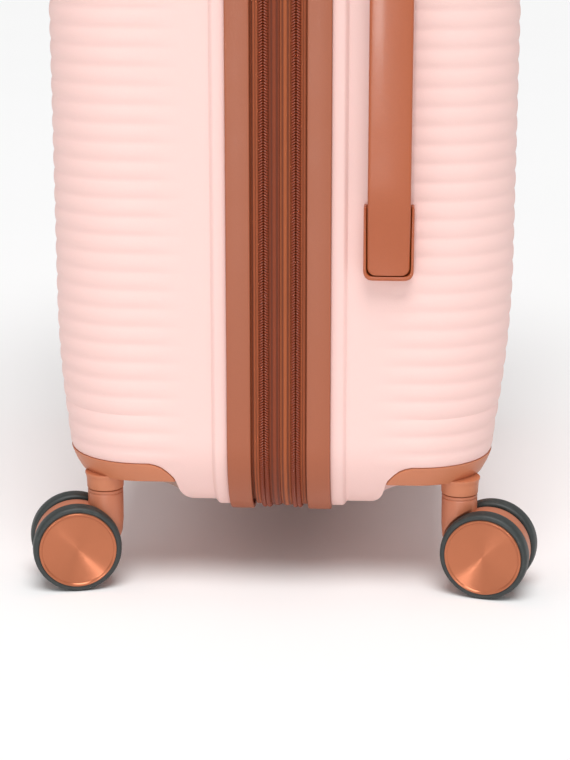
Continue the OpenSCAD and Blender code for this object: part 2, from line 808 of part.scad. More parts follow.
// the hub, its outer face a shallow dish as a cap
module hub(place, side) {
  bore = axle_r + running_fit;
  dish = 1.8;
  bore_end = wheel_w - axle_back + 0.2;
  color([0.73, 0.43, 0.32]) castor(place) wheel_section(side)
    polygon([
      [bore, 0], [bore + 5, 0], [bore + 6, 1], [cap_r, 1], [cap_r, wheel_w - 0.4],
      [cap_r - 0.6, wheel_w], [cap_r - 2, wheel_w], [4, wheel_w - dish], [0, wheel_w - dish],
      [0, bore_end], [bore, bore_end]
    ]);
}

back_shell();
back_trim();
back_lining();
back_guards();
packing_straps();
back_zip_half();
gusset();
side_handle_trays();
top_handle_trays();
lock_body();
trolley_cup();
trolley_sleeves();
strip_between_zips();
mid_zip_halves();
hinge_fabric();
lid_shell();
lid_trim();
lid_lining();
lid_guards();
lid_zip_half();
side_handle_strap();
top_handle_strap();
trolley_lower_tubes();
trolley_upper_tubes();
trolley_grip();
release_button();
lock_dial(1);  // lock_dial_upper
lock_dial(0);  // lock_dial_middle
lock_dial(-1);  // lock_dial_lower
lock_latch();
main_slider(main_upper_z);  // main_slider_upper
main_slider(main_lower_z);  // main_slider_lower
expansion_slider();
main_tab(main_upper_z);  // main_tab_upper
main_tab(main_lower_z);  // main_tab_lower
expansion_tab();
fork(LID_RIGHT);  // fork_lid_right
axle(LID_RIGHT);  // axle_lid_right
tyre(LID_RIGHT, 1);  // tyre_lid_right_a
hub(LID_RIGHT, 1);  // hub_lid_right_a
tyre(LID_RIGHT, -1);  // tyre_lid_right_b
hub(LID_RIGHT, -1);  // hub_lid_right_b
fork(LID_LEFT);  // fork_lid_left
axle(LID_LEFT);  // axle_lid_left
tyre(LID_LEFT, 1);  // tyre_lid_left_a
hub(LID_LEFT, 1);  // hub_lid_left_a
tyre(LID_LEFT, -1);  // tyre_lid_left_b
hub(LID_LEFT, -1);  // hub_lid_left_b
fork(BACK_RIGHT);  // fork_back_right
axle(BACK_RIGHT);  // axle_back_right
tyre(BACK_RIGHT, 1);  // tyre_back_right_a
hub(BACK_RIGHT, 1);  // hub_back_right_a
tyre(BACK_RIGHT, -1);  // tyre_back_right_b
hub(BACK_RIGHT, -1);  // hub_back_right_b
fork(BACK_LEFT);  // fork_back_left
axle(BACK_LEFT);  // axle_back_left
tyre(BACK_LEFT, 1);  // tyre_back_left_a
hub(BACK_LEFT, 1);  // hub_back_left_a
tyre(BACK_LEFT, -1);  // tyre_back_left_b
hub(BACK_LEFT, -1);  // hub_back_left_b
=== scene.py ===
"""Hard shell suitcase on wheels: the visual model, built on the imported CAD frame."""
import json
import logging
import math
from collections.abc import Callable, Iterable
from dataclasses import dataclass
from enum import Enum

import bmesh
import bpy
from mathutils import Matrix, Vector


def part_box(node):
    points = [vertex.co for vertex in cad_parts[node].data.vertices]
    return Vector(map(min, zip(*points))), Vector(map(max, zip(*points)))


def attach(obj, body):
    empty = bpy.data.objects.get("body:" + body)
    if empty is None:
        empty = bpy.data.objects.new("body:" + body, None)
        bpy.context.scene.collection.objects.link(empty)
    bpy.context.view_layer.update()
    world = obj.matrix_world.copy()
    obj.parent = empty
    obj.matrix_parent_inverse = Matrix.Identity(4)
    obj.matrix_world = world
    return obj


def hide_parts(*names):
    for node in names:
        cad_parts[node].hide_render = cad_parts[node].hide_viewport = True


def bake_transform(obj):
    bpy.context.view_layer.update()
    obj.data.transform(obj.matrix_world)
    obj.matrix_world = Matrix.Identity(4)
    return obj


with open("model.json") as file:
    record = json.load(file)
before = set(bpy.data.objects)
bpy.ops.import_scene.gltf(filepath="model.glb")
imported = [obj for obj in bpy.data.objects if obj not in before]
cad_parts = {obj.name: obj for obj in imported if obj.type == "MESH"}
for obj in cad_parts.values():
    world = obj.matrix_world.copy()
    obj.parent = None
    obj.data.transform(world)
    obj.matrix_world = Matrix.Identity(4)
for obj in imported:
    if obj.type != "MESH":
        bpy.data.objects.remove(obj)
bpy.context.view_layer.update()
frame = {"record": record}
LOG = logging.getLogger("suitcase")

MM = 0.001
QUARTER = math.pi / 2
Point = tuple[float, float]
Colour = tuple[float, float, float]


# ---------------------------------------------------------------- places taken from the frame

def low(node: str) -> Vector:
    """Lowest corner of a CAD node at rest."""
    return Vector(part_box(node)[0])


def high(node: str) -> Vector:
    """Highest corner of a CAD node at rest."""
    return Vector(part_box(node)[1])


def middle(node: str) -> Vector:
    """Middle of a CAD node's box."""
    return (low(node) + high(node)) / 2


class Half(Enum):
    """The two halves of the case, by the sign of their side in Y."""

    LID = -1
    BACK = 1

    @property
    def body(self) -> str:
        """Name of the CAD body this half belongs to."""
        return "lid" if self is Half.LID else "back_half"

    @property
    def prefix(self) -> str:
        """First word of this half's node names."""
        return "lid" if self is Half.LID else "back"


@dataclass(frozen=True)
class Outline:
    """The rounded rectangle that the trim follows, seen along Y.

    half_w: half the width; bottom, top: its lowest and highest point; radius: of its corners.
    """

    half_w: float
    bottom: float
    top: float
    radius: float = 50 * MM

    @property
    def corner_x(self) -> float:
        """X of the corner centres."""
        return self.half_w - self.radius

    @property
    def corner_low(self) -> float:
        """Z of the lower corner centres."""
        return self.bottom + self.radius

    @property
    def corner_high(self) -> float:
        """Z of the upper corner centres."""
        return self.top - self.radius

    def arc_run(self, x: float, z: float) -> float:
        """Distance along the outline, from its lower left end, to the point nearest to (x, z).

        Args:
            x: place across the case.
            z: height.
        Returns:
            Length in metres along the trim.
        """
        wide, tall = 2 * self.corner_x, self.corner_high - self.corner_low
        arc = QUARTER * self.radius
        right, above, below = x > 0, z > self.corner_high, z < self.corner_low
        side = abs(x) > self.corner_x
        if side and not above and not below:
            along = z - self.corner_low
            return wide + arc + along if right else 2 * wide + 3 * arc + 2 * tall - along
        if not side:
            mid = (self.corner_low + self.corner_high) / 2
            return x + self.corner_x if z < mid else wide + 2 * arc + tall + self.corner_x - x
        centre_z = self.corner_high if above else self.corner_low
        out, up = abs(x) - self.corner_x, abs(z - centre_z)
        turn = math.atan2(up, out) * self.radius
        if right:
            return wide + arc - turn if below else wide + arc + tall + turn
        start = 2 * wide + 2 * arc + tall
        return start + arc - turn if above else start + arc + tall + turn


TRIM = Outline(high("lid_trim").x, low("lid_trim").z, high("lid_trim").z)


# ---------------------------------------------------------------- mesh helpers

def finish_piece(bm: bmesh.types.BMesh, name: str, body: str | None, material: bpy.types.Material,
                 smooth: float = 35.0, nodes: Iterable[str] = ()) -> bpy.types.Object:
    """Turns a bmesh into a piece of the model.

    Args:
        bm: the finished mesh; it is freed.
        name: name of the piece.
        body: CAD body it rides on, or None to leave it on no body.
        material: its finish.
        smooth: edges flatter than this many degrees are shaded smooth.
        nodes: CAD nodes it stands for.
    Returns:
        The new object.
    """
    bmesh.ops.recalc_face_normals(bm, faces=bm.faces)
    for face in bm.faces:
        face.smooth = True
    limit = math.radians(smooth)
    for edge in bm.edges:
        edge.smooth = len(edge.link_faces) == 2 and edge.calc_face_angle(0) < limit
    mesh = bpy.data.meshes.new(name)
    bm.to_mesh(mesh)
    bm.free()
    obj = bpy.data.objects.new(name, mesh)
    bpy.context.scene.collection.objects.link(obj)
    mesh.materials.append(material)
    if body:
        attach(obj, body)
    if nodes:
        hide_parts(*nodes)
    LOG.info("built %s (%d faces)", name, len(mesh.polygons))
    return obj


def chain(bm: bmesh.types.BMesh, points: list[Vector], closed: bool) -> list[bmesh.types.BMEdge]:
    """Adds a line of vertices and the edges between them; returns the edges."""
    verts = [bm.verts.new(p) for p in points]
    pairs = list(zip(verts, verts[1:])) + ([(verts[-1], verts[0])] if closed else [])
    return [bm.edges.new(pair) for pair in pairs]


def rounded(points: list[Point], radius: float, steps: int = 3) -> list[Point]:
    """Rounds the corners of a closed flat outline.

    Args:
        points: corners in order.
        radius: radius that each corner is cut back by.
        steps: flats in each corner.
    Returns:
        The corners replaced by short curves.
    """
    result: list[Point] = []
    count = len(points)
    for i, here in enumerate(points):
        corner = Vector(here)
        before = Vector(points[i - 1]) - corner
        after = Vector(points[(i + 1) % count]) - corner
        cut = min(radius, before.length * 0.49, after.length * 0.49)
        start, end = corner + before.normalized() * cut, corner + after.normalized() * cut
        for k in range(steps + 1):
            t = k / steps
            p = start * (1 - t) ** 2 + corner * 2 * t * (1 - t) + end * t * t
            result.append((p.x, p.y))
    return result


@dataclass(frozen=True)
class Lap:
    """One lap round an outline, made by repeated spins.

    level, upright: steps along the level and the upright sides; turn: steps in a corner.
    """

    outline: Outline
    level: int = 1
    upright: int = 1
    turn: int = 16

    def run(self, bm: bmesh.types.BMesh, geom: list, duplicate: bool = False) -> None:
        """Carries geometry that stands at the lower left end once round the outline.

        Args:
            bm: mesh to work in.
            geom: vertices, edges and faces at the start.
            duplicate: True leaves loose copies, False sweeps a skin.
        """
        o = self.outline
        wide, tall = 2 * o.corner_x, o.corner_high - o.corner_low
        sides = [
            (Vector((wide, 0, 0)), self.level, Vector((o.corner_x, 0, o.corner_low))),
            (Vector((0, 0, tall)), self.upright, Vector((o.corner_x, 0, o.corner_high))),
            (Vector((-wide, 0, 0)), self.level, Vector((-o.corner_x, 0, o.corner_high))),
            (Vector((0, 0, -tall)), self.upright, Vector((-o.corner_x, 0, o.corner_low))),
        ]
        for along, steps, centre in sides:
            geom = bmesh.ops.spin(bm, geom=geom, cent=(0, 0, 0), axis=(0, -1, 0), dvec=along / steps, angle=0,
                                  steps=steps, use_merge=False, use_duplicate=duplicate)["geom_last"]
            geom = bmesh.ops.spin(bm, geom=geom, cent=centre, axis=(0, -1, 0), dvec=(0, 0, 0), angle=QUARTER,
                                  steps=self.turn, use_merge=False, use_duplicate=duplicate)["geom_last"]
        if duplicate:
            bmesh.ops.delete(bm, geom=[g for g in geom if isinstance(g, bmesh.types.BMVert)], context="VERTS")
        else:
            bmesh.ops.remove_doubles(bm, verts=bm.verts, dist=1e-6)


def sweep(profile: list[Point], lap: Lap, closed: bool = True) -> bmesh.types.BMesh:
    """Sweeps a profile round an outline.

    Args:
        profile: (inset, y) points.
        lap: the lap to follow.
        closed: True joins the profile's ends.
    Returns:
        The new bmesh, standing in the row frame.
    """
    bm = bmesh.new()
    o = lap.outline
    edges = chain(bm, [Vector((-o.corner_x, y, o.bottom + inset)) for inset, y in profile], closed)
    lap.run(bm, list(bm.verts) + edges)
    return bm


def lathe(profile: list[Point], steps: int, place: Matrix) -> bmesh.types.BMesh:
    """Turns a closed profile about the z axis and puts it in place.

    Args:
        profile: (radius, height) points; the ends lie on the axis or the profile is a loop.
        steps: flats in the full turn.
        place: matrix from the lathe's frame to the row frame.
    Returns:
        The new bmesh, with a UV map of turn and radius for turned marks.
    """
    bm = bmesh.new()
    on_axis = profile[0][0] == 0 and profile[-1][0] == 0
    edges = chain(bm, [Vector((r, 0, h)) for r, h in profile], not on_axis)
    bmesh.ops.spin(bm, geom=list(bm.verts) + edges, cent=(0, 0, 0), axis=(0, 0, 1), angle=2 * math.pi,
                   steps=steps, use_merge=True, use_duplicate=False)
    bmesh.ops.remove_doubles(bm, verts=bm.verts, dist=1e-7)
    layer = bm.loops.layers.uv.new("turned")
    for face in bm.faces:
        mid = face.calc_center_median()
        centre = math.atan2(mid.y, mid.x)
        for loop in face.loops:
            co = loop.vert.co
            reach = math.hypot(co.x, co.y)
            angle = math.atan2(co.y, co.x) if reach > 1e-6 else centre
            angle = centre + (angle - centre + math.pi) % (2 * math.pi) - math.pi
            loop[layer].uv = (angle / (2 * math.pi), reach)
    bm.transform(place)
    return bm


def plate(points: list[Point], low_h: float, high_h: float, place: Matrix) -> bmesh.types.BMesh:
    """A flat outline in XY thickened from low_h to high_h and put in place."""
    bm = bmesh.new()
    face = bm.faces.new([bm.verts.new((x, y, low_h)) for x, y in points])
    top = bmesh.ops.extrude_face_region(bm, geom=[face], use_keep_orig=True)["geom"]
    verts = [g for g in top if isinstance(g, bmesh.types.BMVert)]
    bmesh.ops.translate(bm, verts=verts, vec=(0, 0, high_h - low_h))
    bm.transform(place)
    return bm


def box_mesh(lo: Vector, hi: Vector, bevel: float = 0.0, segments: int = 2) -> bmesh.types.BMesh:
    """A box between two corners, its edges bevelled."""
    bm = bmesh.new()
    size = hi - lo
    bmesh.ops.create_cube(bm, size=1, matrix=Matrix.Translation((lo + hi) / 2) @ Matrix.Diagonal((*size, 1)))
    if bevel:
        bmesh.ops.bevel(bm, geom=bm.edges, offset=bevel, segments=segments, profile=0.5, affect="EDGES",
                        material=-1)
    return bm


def soften(bm: bmesh.types.BMesh, offset: float, segments: int = 2, angle: float = 30.0) -> None:
    """Bevels every edge that is sharper than an angle, in degrees."""
    sharp = [e for e in bm.edges if len(e.link_faces) == 2 and e.calc_face_angle(0) > math.radians(angle)]
    bmesh.ops.bevel(bm, geom=sharp, offset=offset, segments=segments, profile=0.5, affect="EDGES", material=-1,
                    clamp_overlap=True)


def combine(base: bmesh.types.BMesh, other: bmesh.types.BMesh) -> None:
    """Adds another bmesh to a base and frees it."""
    mesh = bpy.data.meshes.new("part")
    other.to_mesh(mesh)
    other.free()
    base.from_mesh(mesh)
    bpy.data.meshes.remove(mesh)


def cut(bm: bmesh.types.BMesh, tools: list[bmesh.types.BMesh],
        operation: str = "DIFFERENCE") -> bmesh.types.BMesh:
    """Booleans a bmesh with others, through modifiers on throw-away objects.

    Args:
        bm: the mesh that is cut; it is freed.
        tools: the cutting meshes; they are freed.
        operation: DIFFERENCE, INTERSECT or UNION.
    Returns:
        The result as a new bmesh.
    """
    objects = []
    for part in [bm, *tools]:
        bmesh.ops.recalc_face_normals(part, faces=part.faces)
        mesh = bpy.data.meshes.new("cut")
        part.to_mesh(mesh)
        part.free()
        obj = bpy.data.objects.new("cut", mesh)
        bpy.context.scene.collection.objects.link(obj)
        objects.append(obj)
    for tool in objects[1:]:
        modifier = objects[0].modifiers.new("cut", "BOOLEAN")
        modifier.operation, modifier.object, modifier.solver = operation, tool, "EXACT"
    bpy.context.view_layer.update()
    evaluated = objects[0].evaluated_get(bpy.context.evaluated_depsgraph_get())
    result = bmesh.new()
    result.from_mesh(evaluated.to_mesh())
    evaluated.to_mesh_clear()
    for obj in objects:
        mesh = obj.data
        bpy.data.objects.remove(obj)
        bpy.data.meshes.remove(mesh)
    return result


def in_mm(points: Iterable[Point]) -> list[Point]:
    """An outline given in millimetres, in metres."""
    return [(a * MM, b * MM) for a, b in points]


def mark_run(bm: bmesh.types.BMesh) -> None:
    """Stores each vertex's distance along the trim and its y, for woven patterns."""
    layer = bm.verts.layers.float_vector.new("run")
    for vert in bm.verts:
        vert[layer] = (TRIM.arc_run(vert.co.x, vert.co.z), vert.co.y, 0)


# ---------------------------------------------------------------- finishes

class Nodes:
    """A material's node tree, with short ways to add and link nodes."""

    def __init__(self, name: str) -> None:
        """Makes an empty material with a Principled shader on its output."""
        self.material = bpy.data.materials.new(name)
        self.material.use_nodes = True
        self.tree = self.material.node_tree
        self.tree.nodes.clear()
        self.shader = self.add("ShaderNodeBsdfPrincipled")
        output = self.add("ShaderNodeOutputMaterial")
        self.tree.links.new(self.shader.outputs[0], output.inputs["Surface"])

    def add(self, kind: str, values: dict | None = None, **properties: object) -> bpy.types.Node:
        """Adds a node; values go to its sockets (links or numbers), properties to the node."""
        node = self.tree.nodes.new(kind)
        for key, value in properties.items():
            setattr(node, key, value)
        for key, value in (values or {}).items():
            self.put(node, key, value)
        return node

    def put(self, node: bpy.types.Node, key: str | int, value: object) -> None:
        """Sets a socket to a number or links it to another socket."""
        if isinstance(value, bpy.types.NodeSocket):
            self.tree.links.new(value, node.inputs[key])
        else:
            node.inputs[key].default_value = value

    def coords(self) -> bpy.types.NodeSocket:
        """Object coordinates, in metres in the row frame."""
        return self.add("ShaderNodeTexCoord").outputs["Object"]

    def noise(self, vector: bpy.types.NodeSocket, scale: float, detail: float = 3.0) -> bpy.types.NodeSocket:
        """A noise value from 0 to 1."""
        return self.add("ShaderNodeTexNoise", {"Vector": vector, "Scale": scale, "Detail": detail}).outputs[0]

    def math(self, operation: str, a: object, b: object = 0.0) -> bpy.types.NodeSocket:
        """The result of a math node."""
        return self.add("ShaderNodeMath", {0: a, 1: b}, operation=operation).outputs[0]

    def spread(self, value: object, out_low: float, out_high: float, in_low: float = 0.0,
               in_high: float = 1.0) -> bpy.types.NodeSocket:
        """Maps a value from one range to another."""
        return self.add("ShaderNodeMapRange", {"Value": value, "From Min": in_low, "From Max": in_high,
                                               "To Min": out_low, "To Max": out_high}).outputs[0]

    def mix(self, factor: object, a: object, b: object) -> bpy.types.NodeSocket:
        """A colour between a and b."""
        node = self.add("ShaderNodeMix", data_type="RGBA")
        for key, value in ((0, factor), (6, a), (7, b)):
            self.put(node, key, value)
        return node.outputs[2]

    def bump(self, height: object, distance: float, strength: float = 1.0,
             normal: bpy.types.NodeSocket | None = None) -> bpy.types.NodeSocket:
        """A bumped normal."""
        values = {"Height": height, "Distance": distance, "Strength": strength}
        if normal is not None:
            values["Normal"] = normal
        return self.add("ShaderNodeBump", values).outputs[0]


def rgba(colour: Colour, factor: float = 1.0) -> tuple[float, float, float, float]:
    """A colour with full alpha, scaled."""
    return tuple(min(1.0, c * factor) for c in colour) + (1.0,)


@dataclass(frozen=True)
class Moulded:
    """Moulded, leathery, cast or drawn surface with a fine grain.

    grain: grain size in metres; depth: bump height in metres; mottle: share of slow colour change.
    """

    name: str
    colour: Colour
    roughness: float = 0.4
    grain: float = 0.6 * MM
    depth: float = 0.02 * MM
    mottle: float = 0.04
    metallic: float = 0.0
    coat: float = 0.0
    sheen: float = 0.0
    subsurface: float = 0.0

    def build(self) -> bpy.types.Material:
        """Builds the material."""
        n = Nodes(self.name)
        at = n.coords()
        slow = n.noise(at, 9.0, 2.0)
        fine = n.noise(at, 1 / self.grain, 4.0)
        smudge = n.noise(at, 55.0, 5.0)
        tone = n.mix(slow, rgba(self.colour, 1 - self.mottle), rgba(self.colour, 1 + self.mottle))
        tone = n.mix(n.spread(fine, 0.0, 0.22, 0.35, 0.7), tone, rgba(self.colour, 0.86))
        n.put(n.shader, "Base Color", tone)
        grain_rough = n.spread(fine, self.roughness - 0.03, self.roughness + 0.04)
        rough = n.math("ADD", n.spread(smudge, -0.05, 0.06), grain_rough)
        n.put(n.shader, "Roughness", rough)
        n.put(n.shader, "Metallic", self.metallic)
        n.put(n.shader, "Coat Weight", self.coat)
        n.put(n.shader, "Coat Roughness", 0.12)
        n.put(n.shader, "Sheen Weight", self.sheen)
        n.put(n.shader, "Subsurface Weight", self.subsurface)
        n.put(n.shader, "Subsurface Scale", 2 * MM)
        n.put(n.shader, "Normal", n.bump(fine, self.depth))
        return n.material


@dataclass(frozen=True)
class Woven:
    """Woven cloth or tape; the weave follows the attribute 'run', or object x and z without it.

    pitch: distance between threads in metres; depth: height of the weave; stripe: distance between the
    lengthwise cords, 0 for none; right: a second colour for the far side of y = 0.5 mm.
    """

    name: str
    colour: Colour
    pitch: float = 0.55 * MM
    depth: float = 0.12 * MM
    on_run: bool = True
    stripe: float = 0.0
    right: Colour | None = None

    def build(self) -> bpy.types.Material:
        """Builds the material."""
        n = Nodes(self.name)
        at = n.coords()
        if self.on_run:
            run = n.add("ShaderNodeAttribute", attribute_name="run").outputs["Vector"]
            split = n.add("ShaderNodeSeparateXYZ", {0: run})
            along, across = split.outputs[0], split.outputs[1]
        else:
            split = n.add("ShaderNodeSeparateXYZ", {0: at})
            along, across = n.math("ADD", split.outputs[0], split.outputs[1]), split.outputs[2]
        turn = 2 * math.pi / self.pitch
        warp = n.math("SINE", n.math("MULTIPLY", along, turn))
        weft = n.math("SINE", n.math("MULTIPLY", across, turn))
        threads = n.spread(n.math("MULTIPLY", warp, weft), 0.0, 1.0, -1.0, 1.0)
        fuzz = n.noise(at, 900.0, 4.0)
        slow = n.noise(at, 25.0, 3.0)
        height = n.math("ADD", threads, n.math("MULTIPLY", fuzz, 0.5))
        base = n.mix(slow, rgba(self.colour, 0.88), rgba(self.colour, 1.1))
        if self.right:
            side = n.spread(across, 0.0, 1.0, 0.1 * MM, 0.9 * MM)
            base = n.mix(side, base, n.mix(slow, rgba(self.right, 0.9), rgba(self.right, 1.1)))
        if self.stripe:
            cords = n.math("SINE", n.math("MULTIPLY", across, 2 * math.pi / self.stripe))
            # Painted shade: the grooves between the lengthwise cords, where the bump is lowest, are darkened
            # towards 0.4 of the colour.
            base = n.mix(n.spread(cords, 0.75, 0.0, -1.0, -0.1), base, rgba(self.colour, 0.4))
            height = n.math("ADD", height, cords)
        # Painted shade: the low places of the weave, between the threads, are darkened towards 0.55 of the
        # colour.
        gap_shade = n.spread(height, 0.45, 0.0, 0.2, 1.1)
        n.put(n.shader, "Base Color", n.mix(gap_shade, base, rgba(self.colour, 0.55)))
        n.put(n.shader, "Roughness", n.spread(fuzz, 0.72, 0.92))
        n.put(n.shader, "Sheen Weight", 0.08)
        n.put(n.shader, "Normal", n.bump(height, self.depth))
        return n.material


@dataclass(frozen=True)
class Turned:
    """Glossy cap with fine turned rings; its highlight spreads across the rings."""

    name: str
    colour: Colour
    ring: float = 0.55 * MM

    def build(self) -> bpy.types.Material:
        """Builds the material."""
        n = Nodes(self.name)
        at = n.coords()
        split = n.add("ShaderNodeSeparateXYZ", {0: n.add("ShaderNodeUVMap", uv_map="turned").outputs[0]})
        reach = split.outputs[1]
        rings = n.math("SINE", n.math("MULTIPLY", reach, 2 * math.pi / self.ring))
        fine = n.math("SINE", n.math("MULTIPLY", reach, 2 * math.pi / (0.37 * self.ring)))
        height = n.math("ADD", rings, n.math("MULTIPLY", fine, 0.4))
        slow = n.noise(at, 60.0, 3.0)
        n.put(n.shader, "Base Color", n.mix(n.spread(height, 0.0, 0.3, -1.4, 1.4), n.mix(
            slow, rgba(self.colour, 0.95), rgba(self.colour, 1.06)), rgba(self.colour, 0.8)))
        n.put(n.shader, "Metallic", 0.6)
        n.put(n.shader, "Roughness", n.spread(slow, 0.26, 0.32))
        n.put(n.shader, "Anisotropic", 0.85)
        n.put(n.shader, "Anisotropic Rotation", 0.25)
        tangent = n.add("ShaderNodeTangent", direction_type="UV_MAP", uv_map="turned")
        n.put(n.shader, "Tangent", tangent.outputs[0])
        n.put(n.shader, "Normal", n.bump(height, 0.009 * MM))
        return n.material


@dataclass(frozen=True)
class Rubber:
    """Black tyre rubber with dust and fine scuffs."""

    name: str
    colour: Colour

    def build(self) -> bpy.types.Material:
        """Builds the material."""
        n = Nodes(self.name)
        at = n.coords()
        dust = n.noise(at, 160.0, 6.0)
        slow = n.noise(at, 35.0, 3.0)
        worn = n.math("MULTIPLY", n.spread(dust, 0.0, 0.6, 0.5, 0.75), slow)
        n.put(n.shader, "Base Color", n.mix(worn, rgba(self.colour), rgba((0.10, 0.11, 0.105))))
        n.put(n.shader, "Roughness", n.spread(dust, 0.42, 0.62))
        n.put(n.shader, "Normal", n.bump(dust, 0.05 * MM))
        return n.material


class Palette:
    """Every finish of the case, built once."""

    def __init__(self) -> None:
        """Builds the materials."""
        self.shell = Moulded("shell pink", (0.89, 0.608, 0.565), 0.52, 0.5 * MM, 0.012 * MM, 0.012,
                             subsurface=0.02).build()
        self.trim = Moulded("trim leather", (0.365, 0.098, 0.040), 0.42, 0.9 * MM, 0.03 * MM, 0.03).build()
        # Painted light: this colour is raised to make up for the shade the guards sit in, facing down under the
        # case; the lock body and the trolley cup share it.
        self.guard = Moulded("guard plastic", (0.57, 0.196, 0.094), 0.46, 0.45 * MM, 0.02 * MM, 0.02).build()
        self.handle = Moulded("handle plastic", (0.415, 0.094, 0.027), 0.38, 1.1 * MM, 0.025 * MM, 0.03,
                              coat=0.1).build()
        self.castor = Moulded("castor plastic", (0.50, 0.165, 0.083), 0.40, 0.6 * MM, 0.015 * MM, 0.03,
                              coat=0.1).build()
        self.cap = Turned("turned cap", (0.50, 0.165, 0.078)).build()
        self.rubber = Rubber("tyre rubber", (0.028, 0.034, 0.033)).build()
        self.strip = Woven("band cloth", (0.248, 0.042, 0.009), stripe=2.9 * MM,
                           right=(0.395, 0.091, 0.023)).build()
        self.tape = Woven("zip tape", (0.39, 0.087, 0.026), 0.45 * MM, 0.08 * MM, stripe=1.7 * MM).build()
        self.cloth = Woven("gusset cloth", (0.33, 0.10, 0.045)).build()
        self.lining = Woven("lining cloth", (0.60, 0.44, 0.37), 0.5 * MM, 0.04 * MM, on_run=False).build()
        self.webbing = Woven("strap webbing", (0.16, 0.055, 0.03), 1.1 * MM, 0.2 * MM, on_run=False).build()
        self.teeth = Moulded("zip coil", (0.246, 0.040, 0.011), 0.32, 0.3 * MM, 0.01 * MM, 0.05,
                             coat=0.1).build()
        self.tube = Moulded("anodised tube", (0.72, 0.72, 0.74), 0.28, 0.3 * MM, 0.004 * MM, 0.02,
                            metallic=1.0).build()
        self.plated = Moulded("copper plating", (0.66, 0.36, 0.22), 0.24, 0.4 * MM, 0.004 * MM, 0.03,
                              metallic=1.0).build()
        self.steel = Moulded("axle steel", (0.60, 0.60, 0.62), 0.26, 0.3 * MM, 0.004 * MM, 0.02,
                             metallic=1.0).build()
        self.button = Moulded("button plastic", (0.27, 0.085, 0.045), 0.42, 0.5 * MM, 0.015 * MM).build()
        self.dial = Moulded("dial plastic", (0.74, 0.68, 0.60), 0.30, 0.5 * MM, 0.008 * MM, coat=0.2).build()
        self.ink = Moulded("dial ink", (0.05, 0.03, 0.025), 0.5, 0.5 * MM, 0.005 * MM).build()


# ---------------------------------------------------------------- facts from the record

BODIES: dict[str, list[str]] = frame["record"]["behaviour"]["bodies"]
JOINTS: dict[str, dict] = {j["name"]: j for j in frame["record"]["behaviour"]["joints"]}


def body_of(node: str) -> str:
    """The CAD body that a node belongs to."""
    return next(body for body, nodes in BODIES.items() if node in nodes)


def dress(material: bpy.types.Material, *nodes: str) -> None:
    """Gives CAD nodes, which stay as they are, a finish."""
    for node in nodes:
        for holder in bpy.data.objects[node].material_slots:
            holder.material = material


def stand_in(bm: bmesh.types.BMesh, node: str, material: bpy.types.Material, smooth: float) -> bpy.types.Object:
    """Makes the piece that stands for one CAD node, on the node's body."""
    return finish_piece(bm, f"{node}_piece", body_of(node), material, smooth, [node])


def softened(node: str, material: bpy.types.Material, offset: float) -> bpy.types.Object:
    """Stands a piece with bevelled edges in for a CAD node of the same shape.

    Args:
        node: the CAD node.
        material: the piece's finish.
        offset: width of the bevels in metres.
    Returns:
        The new piece.
    """
    bm = bmesh.new()
    bm.from_mesh(bpy.data.objects[node].data)
    bmesh.ops.remove_doubles(bm, verts=bm.verts, dist=1e-6)
    bmesh.ops.dissolve_limit(bm, angle_limit=math.radians(1), verts=bm.verts, edges=bm.edges, delimit=set())
    soften(bm, offset, 2, 25)
    return stand_in(bm, node, material, 40)


# ---------------------------------------------------------------- shells, trims, guards and linings

